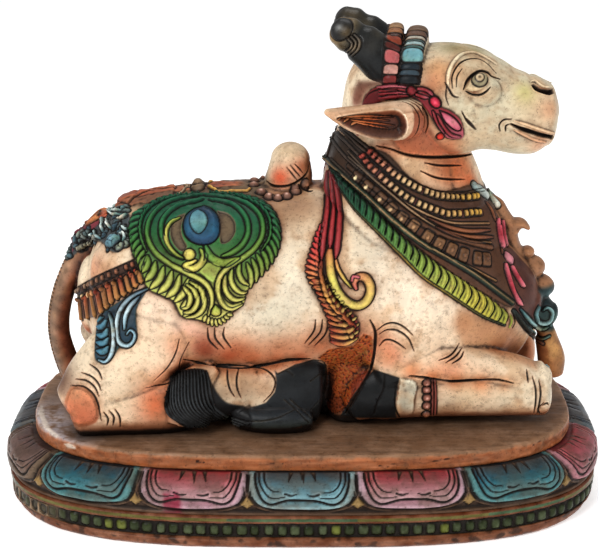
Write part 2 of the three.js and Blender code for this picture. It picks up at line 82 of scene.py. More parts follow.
# The plinth's own sizes.
SEAT_GAP = 0.3
SEAT_THICKNESS = 11
SEAT_LENGTH = 358
SEAT_WIDTH = 197
LOTUS_HEIGHT = 23
FOOT_END_INSET = 5

# The most triangles that each skin keeps, and that one piece of a skin has. Where it can, a cut between two
# pieces stays off the points of the mesh.
SKIN_TRIANGLES = {
    "bull_body": 530000,
    "bull_head": 168000,
    "plinth_foot": 80000,
    "lotus_petals": 125000,
    "seat_board": 72000,
}
PIECE_TRIANGLES = 185000
CUT_OFFSET = 0.0137

# Thinning: how many steps there are in how free a point is to go, the contrast of the paint over which that
# falls, and how much it counts.
FREE_LEVELS = 10
FREE_CONTRAST = (1.5, 10)
FREE_WEIGHT = 0.03

# The studio, in metres and watts.
FLOOR_REACH = 15.0
LIGHT_AIM = (0, 0, 0.12)
LIGHTS = [
    ("key_light", (-0.8, -1.3, 1.4), 0.8, 21),
    ("fill_light", (1.5, -1.1, 0.8), 1.0, 6),
    ("top_light", (0.1, 0.5, 1.8), 0.9, 9),
]
WORLD_LIGHT = 0.42
# How strongly the plinth is darkened in its hollows, by dirt and painted shade.
PLINTH_DIRT_AND_SHADE = 0.8


# Numbers and colours.


def smoothstep(low, high, value):
    share = np.clip((value - low) / (high - low), 0, 1)
    return share * share * (3 - 2 * share)


def linear(colours):
    """Turns colours given as 0 to 255 on a screen into the light that they stand for."""
    share = np.clip(np.asarray(colours, float) / 255, 0, 1)
    return np.where(share <= 0.04045, share / 12.92, ((share + 0.055) / 1.055) ** 2.4)


def ramp(colours, share):
    """Blends along a list of colours, from share 0 to share 1."""
    colours = np.asarray(colours, float).reshape(-1, 3)
    if len(colours) == 1:
        return np.repeat(colours, len(share), axis=0)
    place = np.clip(share, 0, 1) * (len(colours) - 1)
    low = np.minimum(place.astype(int), len(colours) - 2)
    return colours[low] + (colours[low + 1] - colours[low]) * (place - low)[:, None]


def over(colour, tone, cover):
    """Colours with a tone painted over them, as far as it covers them."""
    cover = np.asarray(cover)[..., None]
    return colour * (1 - cover) + np.asarray(tone, float) * cover


def tinted(tone, *shades):
    """A colour that varies. Each shade is how strong it is and its values."""
    return np.array(tone) + sum(strength * values[..., None] for strength, values in shades)


def squared(value, power):
    """Fills out the corners of a circle, from its cosine or sine, where power is below 1."""
    return np.sign(value) * np.abs(value) ** power


def curve(points, steps_for):
    """A smooth line through points, with steps_for(length of a stretch) steps in each stretch."""
    points = np.asarray(points, float)
    if len(points) < 3:
        count = steps_for(np.linalg.norm(points[-1] - points[0]))
        return points[0] + (points[-1] - points[0]) * np.linspace(0, 1, count + 1)[:, None]
    padded = np.vstack([2 * points[0] - points[1], points, 2 * points[-1] - points[-2]])
    made = []
    for i in range(len(points) - 1):
        a, b, c, d = padded[i : i + 4]
        count = steps_for(np.linalg.norm(c - b))
        t = (np.arange(count) / count)[:, None]
        square, cube = (2 * a - 5 * b + 4 * c - d) * t**2, (3 * b - a - 3 * c + d) * t**3
        made.append(0.5 * (2 * b + (c - a) * t + square + cube))
    return np.vstack([*made, points[-1:]])


def evenly(points, count):
    """So many points at even steps along a line."""
    steps = np.linalg.norm(np.diff(points, axis=0), axis=1)
    length = np.concatenate([[0], np.cumsum(steps)])
    wanted = np.linspace(0, length[-1], count)
    return np.stack([np.interp(wanted, length, points[:, k]) for k in range(points.shape[1])], axis=1)


# Closed tubes through stations, as [x, y, height, half width, half depth above, half depth below].
HOOP_SIDES = 16
HOOP_RINGS = 83
HOOP_REACH_DEG = 82
HOOP_POWER = 0.6


def tube_faces(count, sides):
    """Faces of a tube of rings of points that is closed by a point at each end."""
    around = [(k, (k + 1) % sides) for k in range(sides)]
    faces = [
        (i * sides + a, i * sides + b, (i + 1) * sides + b, (i + 1) * sides + a)
        for i in range(count - 1)
        for a, b in around
    ]
    start, last = count * sides, (count - 1) * sides
    faces += [(start, b, a) for a, b in around]
    faces += [(start + 1, last + a, last + b) for a, b in around]
    return faces


def loft(stations, sides=48, squareness=2.0, caps=(0.5, 0.5), rings=9, mirror=False):
    rows = np.asarray(stations, float).copy()
    if mirror:
        rows[:, 1] *= -1
    rows = curve(rows, lambda length: rings)
    place, reach = rows[:, :3], np.maximum(rows[:, 3:], 0.2)
    tangent = np.gradient(place, axis=0)
    tangent /= np.linalg.norm(tangent, axis=1)[:, None]
    dome = np.radians(np.linspace(90, 0, 9)[1:-1])
    layers = []
    if caps[0] > 0:
        length = caps[0] * reach[0].min()
        layers += [(place[0] - tangent[0] * length * math.sin(t), tangent[0], reach[0] * math.cos(t)) for t in dome]
    layers += list(zip(place, tangent, reach))
    if caps[1] > 0:
        length = caps[1] * reach[-1].min()
        layers += [
            (place[-1] + tangent[-1] * length * math.sin(t), tangent[-1], reach[-1] * math.cos(t))
            for t in dome[::-1]
        ]
    turn = 2 * math.pi * np.arange(sides) / sides
    c, s = squared(np.cos(turn), 2 / squareness), squared(np.sin(turn), 2 / squareness)
    points = []
    for centre, along, r in layers:
        across = np.array([0.0, 1.0, 0.0]) - along * along[1]
        across /= np.linalg.norm(across)
        up = np.cross(along, across)
        points.append(centre + np.outer(c * r[0], across) + np.outer(np.where(s > 0, s * r[1], s * r[2]), up))
    ends = [
        place[0] - tangent[0] * caps[0] * reach[0].min(),
        place[-1] + tangent[-1] * caps[1] * reach[-1].min(),
    ]
    return np.vstack([*points, ends]), tube_faces(len(layers), sides)


def deeper(stations, more):
    """The same stations, reaching so much further down."""
    return [[*row[:5], row[5] + more] for row in stations]


def hoop(x_low, x_top, half_width, arch, thickness):
    """A band that stands up over the head, from one side to the other. arch(angle) is its radius."""
    points = []
    turn = 2 * math.pi * np.arange(HOOP_SIDES) / HOOP_SIDES
    c, s = squared(np.cos(turn), HOOP_POWER), squared(np.sin(turn), HOOP_POWER)
    angles = np.radians(np.linspace(-HOOP_REACH_DEG, HOOP_REACH_DEG, HOOP_RINGS))
    for angle in angles:
        x = x_top + (x_low - x_top) * abs(angle) / angles[-1]
        r = arch(abs(math.degrees(angle))) - thickness / 2 + s * thickness / 2
        up = HEAD_AXIS_HEIGHT + r * math.cos(angle)
        points.append(np.stack([x + c * half_width, r * math.sin(angle), up], axis=1))
    ends = [points[0].mean(axis=0), points[-1].mean(axis=0)]
    return np.vstack([*points, ends]), tube_faces(len(points), HOOP_SIDES)


def egg(centre, radii):
    """A ball with three radii, along X, Y and up."""
    x, y, z = centre
    rx, ry, rz = radii
    shares = np.cos(np.radians(np.linspace(172, 8, 15)))
    stations = [[x + rx * t, y, z, *[r * math.sqrt(1 - t * t) for r in (ry, rz, rz)]] for t in shares]
    return loft(stations, sides=32, caps=(0.1, 0.1), rings=1)


# Meshes as arrays of points and triangles.


def placed(name, data):
    """A new object in the scene."""
    made = bpy.data.objects.new(name, data)
    bpy.context.scene.collection.objects.link(made)
    return made


def taken_out(rough, names=()):
    """Points, triangles and named values of an object as its modifiers make it. The object goes."""
    evaluated = rough.evaluated_get(bpy.context.evaluated_depsgraph_get())
    made = evaluated.to_mesh()
    made.calc_loop_triangles()
    co = np.zeros(len(made.vertices) * 3, np.float32)
    made.vertices.foreach_get("co", co)
    tris = np.zeros(len(made.loop_triangles) * 3, np.int32)
    made.loop_triangles.foreach_get("vertices", tris)
    values = np.zeros((len(names), len(made.vertices)), np.float32)
    for k, label in enumerate(names):
        made.attributes[label].data.foreach_get("value", values[k])
    evaluated.to_mesh_clear()
    mesh = rough.data
    bpy.data.objects.remove(rough)
    bpy.data.meshes.remove(mesh)
    return co.reshape(-1, 3).astype(float), tris.reshape(-1, 3).astype(np.int64), values.T.astype(float)


def one_skin(parts, voxel, floor=None):
    """Melts overlapping closed parts into one closed skin, with no point below the floor."""
    points, faces, count = [], [], 0
    for part_points, part_faces in parts:
        points.append(part_points)
        faces += [tuple(count + i for i in face) for face in part_faces]
        count += len(part_points)
    points = np.vstack(points)
    if floor is not None:
        points[:, 2] = np.maximum(points[:, 2], floor)
    mesh = bpy.data.meshes.new("rough")
    mesh.from_pydata((points * METRES).tolist(), [], faces)
    rough = placed("rough", mesh)
    modifier = rough.modifiers.new("skin", "REMESH")
    modifier.mode = "VOXEL"
    modifier.voxel_size = voxel * METRES
    points, tris, _ = taken_out(rough)
    return points / METRES, tris


def edges_of(tris):
    """Edges of a mesh, and the numbers of the three edges of each triangle."""
    pairs = np.sort(tris[:, [0, 1, 1, 2, 2, 0]].reshape(-1, 2), axis=1)
    keys = pairs[:, 0] * (tris.max() + 1) + pairs[:, 1]
    _, first, inverse = np.unique(keys, return_index=True, return_inverse=True)
    return pairs[first], inverse.reshape(-1, 3)


def links_of(tris, size):
    """Edges of a mesh, and how many of them meet at each point."""
    edges, _ = edges_of(tris)
    return edges, np.maximum(np.bincount(edges.ravel(), minlength=size), 1)


def neighbour_mean(values, links):
    """The mean of the values of the points next to each point."""
    edges, count = links
    total = np.zeros((len(values), values.shape[1]))
    for k in range(values.shape[1]):
        total[:, k] = np.bincount(edges[:, 0], values[edges[:, 1], k], len(values))
        total[:, k] += np.bincount(edges[:, 1], values[edges[:, 0], k], len(values))
    return total / count[:, None]


def spread(values, links, rounds):
    for _ in range(rounds):
        values = neighbour_mean(values, links)
    return values


def smoothed(points, tris, rounds, shrink=0.5, grow=-0.53):
    """Evens out a skin without shrinking it."""
    links = links_of(tris, len(points))
    for _ in range(rounds):
        points = points + shrink * (neighbour_mean(points, links) - points)
        points = points + grow * (neighbour_mean(points, links) - points)
    return points


def unit(vectors):
    return vectors / np.maximum(np.linalg.norm(vectors, axis=1), 1e-12)[:, None]


def crosses_of(points, tris):
    a, b, c = (points[tris[:, k]] for k in range(3))
    return np.cross(b - a, c - a)


def normals_of(points, tris):
    """The way out from each point, weighted by the sizes of the triangles round it."""
    face = crosses_of(points, tris)
    total = [sum(np.bincount(tris[:, k], face[:, j], len(points)) for k in range(3)) for j in range(3)]
    return unit(np.stack(total, axis=1))


def split(points, tris, wanted):
    """Cuts the wanted triangles in four and fits their neighbours to them."""
    edges, sides = edges_of(tris)
    marked = np.zeros(len(edges), bool)
    marked[sides[wanted].ravel()] = True
    middle = np.full(len(edges), -1)
    middle[marked] = len(points) + np.arange(marked.sum())
    points = np.vstack([points, points[edges[marked]].mean(axis=1)])
    m = middle[sides]
    cut = (m >= 0).sum(axis=1)
    made = [tris[cut == 0]]
    whole = cut == 3
    t, n = tris[whole], m[whole]
    made += [
        np.stack([t[:, 0], n[:, 0], n[:, 2]], 1),
        np.stack([n[:, 0], t[:, 1], n[:, 1]], 1),
        np.stack([n[:, 2], n[:, 1], t[:, 2]], 1),
        n,
    ]
    for k in range(3):
        order = [k, (k + 1) % 3, (k + 2) % 3]
        one = (cut == 1) & (m[:, k] >= 0)
        t, n = tris[one][:, order], m[one][:, k]
        made += [np.stack([t[:, 0], n, t[:, 2]], 1), np.stack([n, t[:, 1], t[:, 2]], 1)]
        two = (cut == 2) & (m[:, order[2]] < 0)
        t, n, o = tris[two][:, order], m[two][:, order[0]], m[two][:, order[1]]
        made += [
            np.stack([n, t[:, 1], o], 1),
            np.stack([t[:, 0], n, o], 1),
            np.stack([t[:, 0], o, t[:, 2]], 1),
        ]
    return points, np.vstack(made)


# The camera's pixels.


def pixel_of(points):
    """Where points of the object lie in the photograph."""
    away = points - CAMERA_PLACE
    depth = away @ VIEW_DIRECTION
    u = AIM_PX[0] + FOCAL_PX * away[:, 0] / depth
    v = AIM_PX[1] - FOCAL_PX * (away @ VIEW_UP) / depth
    return np.stack([u, v], axis=1)


def ray_through(u, v):
    """The way from the camera through a pixel."""
    way = VIEW_DIRECTION * FOCAL_PX + VIEW_UP * (AIM_PX[1] - v)
    way[0] += u - AIM_PX[0]
    return way / np.linalg.norm(way)


def depth_inside(px, outline):
    """How far pixels lie inside an outline of pixels, below 0 for those outside it."""
    shape = np.asarray(outline, float)
    odd = np.zeros(len(px), bool)
    best = np.full(len(px), np.inf)
    for a, b in zip(shape, np.roll(shape, -1, axis=0)):
        way = b - a
        t = np.clip(((px - a) @ way) / max(way @ way, 1e-9), 0, 1)
        best = np.minimum(best, ((px - a - t[:, None] * way) ** 2).sum(axis=1))
        crosses = (a[1] > px[:, 1]) != (b[1] > px[:, 1])
        odd ^= crosses & (px[:, 0] < (b[0] - a[0]) * (px[:, 1] - a[1]) / (b[1] - a[1] + 1e-12) + a[0])
    return np.where(odd, 1, -1) * np.sqrt(best)


def polygon_cover(px, outline, soft):
    return smoothstep(-soft, soft, depth_inside(px, outline))


class Surface:
    """A dense closed skin that is carved and painted point by point.

    flip turns a point into its mirror image on the other side of the object.
    """

    def __init__(self, points, tris, colour, flip, grain):
        self.flip = flip
        self.grain = grain
        self.tree = BVHTree.FromPolygons(points.tolist(), tris.tolist())
        wanted = self.shown(points[tris].mean(axis=1), unit(crosses_of(points, tris)), sides=(0,))
        points, tris = split(points, tris, wanted)
        self.points, self.tris = points, tris
        self.normals = normals_of(points, tris)
        self.height = np.zeros(len(points))
        self.colour = np.tile(np.asarray(colour, float), (len(points), 1))
        self.gloss = np.zeros(len(points))
        self.near = pixel_of(points)
        self.far = pixel_of(flip(points))
        self.seen = [self.shown(points, self.normals, sides=(k,)) for k in (0, 1)]

    def shown(self, points, normals, sides):
        """Which points are in sight of the camera, or of the camera's mirror image (side 1)."""
        found = np.zeros(len(points), bool)
        for side in sides:
            eye = CAMERA_PLACE if side == 0 else self.flip(CAMERA_PLACE[None])[0]
            toward = eye - points
            toward /= np.linalg.norm(toward, axis=1)[:, None]
            facing = np.flatnonzero((toward * normals).sum(axis=1) > 0.02)
            for i in facing:
                start = Vector(points[i] + normals[i] * 0.6 + toward[i] * 0.8)
                found[i] |= self.tree.ray_cast(start, Vector(toward[i]))[0] is None
        return found

    def cast(self, pixels):
        """The places on the skin under a line of pixels."""
        line = curve(pixels, lambda length: max(1, int(round(length / CAST_STEP_PX))))
        found = []
        start = Vector(CAMERA_PLACE)
        for u, v in line:
            hit = self.tree.ray_cast(start, Vector(ray_through(u, v)))
            if hit[0] is not None:
                found.append(hit[0])
        return np.array(found).reshape(-1, 3)

    def both(self, path, sides):
        return [path if side == 0 else self.flip(path) for side in sides]

    def close_to(self, path, reach):
        low, high = path.min(axis=0) - reach, path.max(axis=0) + reach
        p = self.points
        box = (p[:, 0] > low[0]) & (p[:, 0] < high[0]) & (p[:, 1] > low[1])
        box &= (p[:, 1] < high[1]) & (p[:, 2] > low[2]) & (p[:, 2] < high[2])
        return np.flatnonzero(box)

    def measured(self, path, reach):
        """Points near a path: their numbers, distance from it and place along it, from 0 to 1."""
        near = self.close_to(path, reach)
        if len(near) == 0 or len(path) < 2:
            return near[:0], np.zeros(0), np.zeros(0)
        a, b = path[:-1], path[1:]
        way = b - a
        long = np.maximum((way**2).sum(axis=1), 1e-9)
        p = self.points[near]
        best = np.full(len(near), np.inf)
        place = np.zeros(len(near))
        where = np.zeros(len(near), int)
        for k in range(len(a)):
            t = np.clip(((p - a[k]) @ way[k]) / long[k], 0, 1)
            d = ((p - a[k] - t[:, None] * way[k]) ** 2).sum(axis=1)
            closer = d < best
            best[closer] = d[closer]
            place[closer] = k + t[closer]
            where[closer] = k
        best = np.sqrt(best)
        keep = best < reach
        near, best, place, where = near[keep], best[keep], place[keep], where[keep]
        steps = np.sqrt(long)
        run = np.concatenate([[0], np.cumsum(steps)])
        low = np.minimum(place.astype(int), len(steps) - 1)
        share = (run[low] + (place - low) * steps[low]) / run[-1]
        anchors = path[:: max(1, len(path) // 12)]
        facing = np.array([self.normal_at(q) for q in anchors])
        side = facing[np.minimum(where // max(1, len(path) // 12), len(facing) - 1)]
        same = (self.normals[near] * side).sum(axis=1) > -0.1
        return near[same], best[same], share[same]

    def normal_at(self, place):
        return np.array(self.tree.find_nearest(Vector(place))[1])

    def paint(self, which, colours, cover, gloss=None):
        self.colour[which] = over(self.colour[which], colours, cover)
        if gloss is not None:
            self.gloss[which] = self.gloss[which] * (1 - cover) + gloss * cover

    def stroke(self, path, width, height, colours=None, rim=0.0, rim_colour=(22, 18, 15), ends=(0.0, 0.0),
               shade=0.25, sink=0.5, sides=(0, 1), blend=1.0):
        """Raises a rounded strip along a path, or cuts a groove where height is below 0, and paints it.

        ends are the shares of the path over which it tapers, and rim is a dark groove round it.
        """
        for line in self.both(path, sides):
            which, away, share = self.measured(line, width / 2 + rim + STROKE_MARGIN)
            if len(which) == 0:
                continue
            half = np.full(len(which), width / 2)
            for from_end, taper in ((share, ends[0]), (1 - share, ends[1])):
                if taper:
                    half *= np.clip(from_end / taper * 0.85 + 0.15, 0, 1) ** 0.6
            soft = self.grain
            if rim:
                edge = 1 - smoothstep(half + rim - soft / 2, half + rim + soft / 2, away)
                self.height[which] -= sink * edge
                self.paint(which, rim_colour, edge * blend)
                self.height[which] += sink * (1 - smoothstep(half - soft / 3, half + soft / 2, away))
            across = np.clip(away / np.maximum(half, 0.05), 0, 1)
            self.height[which] += height * (1 - across**2) * (away < half)
            if colours is not None:
                cover = 1 - smoothstep(half - soft / 2, half + soft / 2, away)
                tone = ramp(colours, share) * (1 - shade * across[:, None] ** 2)
                self.paint(which, tone, cover * blend)

    def bead(self, centre, along, size, height, colour, rim=0.5, rim_colour=(25, 18, 14), squareness=2.0,
             sides=(0, 1), shade=0.3, glint=0.0):
        """Raises one bead of size (along, across) at a place on the skin."""
        pair = np.array([centre, centre + along])
        for spot, tip in self.both(pair, sides):
            which = self.close_to(spot[None], max(size) / 2 + rim + STROKE_MARGIN)
            if len(which) == 0:
                continue
            up = self.normal_at(spot)
            way = tip - spot
            way = way - up * (way @ up)
            way /= max(np.linalg.norm(way), 1e-9)
            side = np.cross(up, way)
            gap = self.points[which] - spot
            a, b = gap @ way / (size[0] / 2), gap @ side / (size[1] / 2)
            round_ = (np.abs(a) ** squareness + np.abs(b) ** squareness) ** (1 / squareness)
            small = min(size) / 2
            same = (self.normals[which] @ up > 0) & (np.abs(gap @ up) < max(size))
            away = (round_ - 1) * small
            soft = self.grain
            if rim:
                edge = (1 - smoothstep(rim - soft / 2, rim + soft / 2, away)) * same
                self.height[which] -= 0.4 * edge * (away > 0)
                self.paint(which, rim_colour, edge)
            cover = (1 - smoothstep(-soft / 2, soft / 2, away)) * same
            self.height[which] += height * np.sqrt(np.clip(1 - round_**2, 0, 1)) * same
            tone = np.asarray(colour, float) * (1 - shade * np.clip(round_, 0, 1)[:, None] ** 2)
            tone = tone + glint * np.clip(1 - round_ * 2.2, 0, 1)[:, None] * 255
            self.paint(which, tone, cover)

    def bead_under(self, pixel, along, size, height, colour, **how):
        """Raises one bead at the place under a pixel."""
        place = self.cast([pixel, pixel])
        if len(place):
            self.bead(place[0], np.array(along, float), size, height, colour, **how)

    def inside(self, outline, side, soft):
        """Points inside an outline of pixels: their numbers, depth inside in pixels, and cover."""
        px = self.near if side == 0 else self.far
        shape = np.asarray(outline, float)
        low, high = shape.min(axis=0) - soft - 1, shape.max(axis=0) + soft + 1
        box = (px[:, 0] > low[0]) & (px[:, 0] < high[0]) & (px[:, 1] > low[1]) & (px[:, 1] < high[1])
        which = np.flatnonzero(box & self.seen[side])
        depth = depth_inside(px[which], shape)
        cover = smoothstep(-soft, soft, depth)
        keep = cover > 0
        return which[keep], depth[keep], cover[keep]

    def region(self, outline, height=0.0, colours=None, soft=0.6, bevel=1.5, sides=(0, 1), by="v", blend=1.0,
               tight=False):
        """Raises and paints what lies inside an outline of pixels, rounded unless it is tight.

        The colours run down it, or across it where by is "u".
        """
        outline = np.asarray(outline, float)
        if not tight:
            closed = np.vstack([outline, outline[:1]])
            outline = curve(closed, lambda length: max(1, int(length / 3)))[:-1]
        low, high = outline.min(axis=0), outline.max(axis=0)
        for side in sides:
            which, depth, cover = self.inside(outline, side, soft)
            if len(which) == 0:
                continue
            self.height[which] += height * smoothstep(-0.3, bevel, depth)
            if colours is not None:
                px = (self.near if side == 0 else self.far)[which]
                k = 1 if by == "v" else 0
                share = (px[:, k] - low[k]) / (high[k] - low[k])
                self.paint(which, ramp(colours, share), cover * blend)

    def spray(self, pixel, radius, colour, strength, sides=(0, 1)):
        """A soft spot of colour, radius in millimetres, round the place under a pixel."""
        place = self.cast([pixel, pixel])
        if len(place) == 0:
            return
        for spot in self.both(place[:1], sides):
            which = self.close_to(spot, radius * 2)
            away = np.linalg.norm(self.points[which] - spot[0], axis=1) / radius
            self.paint(which, colour, strength * np.exp(-(away**2)))

    def lines(self, name, width, height, colours=None, **how):
        """Strokes along named lines of pixels."""
        for pixels in PLACES_PX[name]:
            path = self.cast(pixels)
            if len(path) > 1:
                self.stroke(path, width, height, colours, **how)

    def row(self, name, count, size, height, colours, **how):
        """A row of beads along a line of pixels."""
        for pixels in PLACES_PX[name]:
            path = self.cast(pixels)
            spots = evenly(path, count * 4)
            for i in range(count):
                share = i / (count - 1)
                k = min(int(round(share * (len(spots) - 1))), len(spots) - 2)
                tone = ramp(colours, np.array([share]))[0]
                self.bead(spots[k], spots[k + 1] - spots[k], size, height, tone, **how)

    def fan(self, roots, tips, count, width, height, colour_at, bend=0.0, ends=(0.3, 0.25), **how):
        """Leaves from one line of pixels to another, side by side."""
        a = evenly(curve(roots, lambda length: 8), count)
        b = evenly(curve(tips, lambda length: 8), count)
        for root, tip in zip(a, b):
            middle = (root + tip) / 2 + bend * np.array([-(tip - root)[1], (tip - root)[0]])
            path = self.cast([root, middle, tip])
            if len(path) > 1:
                self.stroke(path, width, height, colour_at(root, tip), ends=ends, **how)

    def near_axis(self, path, reach):
        """Points within reach of a line inside a limb: numbers, share along it, and the way out from it."""
        which = self.close_to(path, reach)
        p = self.points[which]
        best = np.full(len(which), np.inf)
        share = np.zeros(len(which))
        out = np.zeros((len(which), 3))
        for k in range(len(path) - 1):
            way = path[k + 1] - path[k]
            t = np.clip(((p - path[k]) @ way) / (way @ way), 0, 1)
            gap = p - path[k] - t[:, None] * way
            away = np.linalg.norm(gap, axis=1)
            closer = away < best
            best[closer] = away[closer]
            share[closer] = (k + t[closer]) / (len(path) - 1)
            out[closer] = gap[closer] / np.maximum(away[closer], 1e-6)[:, None]
        keep = best < reach
        return which[keep], share[keep], out[keep]

    def shelter(self, floor, rays=28, reach=70.0, samples=9000):
        """How much each point is closed in by what stands round it, from 0 to 1."""
        random = np.random.default_rng(2)
        chosen = random.choice(len(self.points), min(samples, len(self.points)), replace=False)
        ways = random.normal(size=(len(chosen), rays, 3))
        ways /= np.linalg.norm(ways, axis=2)[..., None]
        ways = ways + 1.02 * self.normals[chosen][:, None]
        ways /= np.linalg.norm(ways, axis=2)[..., None]
        tree = KDTree(len(chosen))
        shut = np.zeros(len(chosen))
        for n, i in enumerate(chosen):
            start = Vector(self.points[i] + self.normals[i] * 0.8)
            tree.insert(self.points[i], n)
            for way in ways[n]:
                hit = self.tree.ray_cast(start, Vector(way), reach)
                if hit[0] is not None:
                    shut[n] += 1 - 0.6 * hit[3] / reach
                elif floor is not None and way[2] < 0 and (start[2] - floor) / -way[2] < reach:
                    shut[n] += 0.8 * (1 - 0.6 * (start[2] - floor) / -way[2] / reach)
        tree.balance()
        shut /= rays
        found = np.zeros(len(self.points))
        for i, point in enumerate(self.points):
            near = tree.find_n(point, 4)
            found[i] = sum(shut[n] for _, n, _ in near) / 4
        return spread(found[:, None], links_of(self.tris, len(self.points)), 4)[:, 0]

    def halo(self, rounds=40):
        """How close the bare skin lies to raised carving, from 0 to about half."""
        raised = (np.abs(self.height) > 0.45).astype(float)
        return spread(raised[:, None], links_of(self.tris, len(self.points)), rounds)[:, 0] * (1 - raised)

    def carved(self, unevenness):
        """The points of the skin with its carving, and with the slight bumps of cut wood."""
        self.height += unevenness * noise(self.points, 7)
        return self.points + self.normals * self.height[:, None]


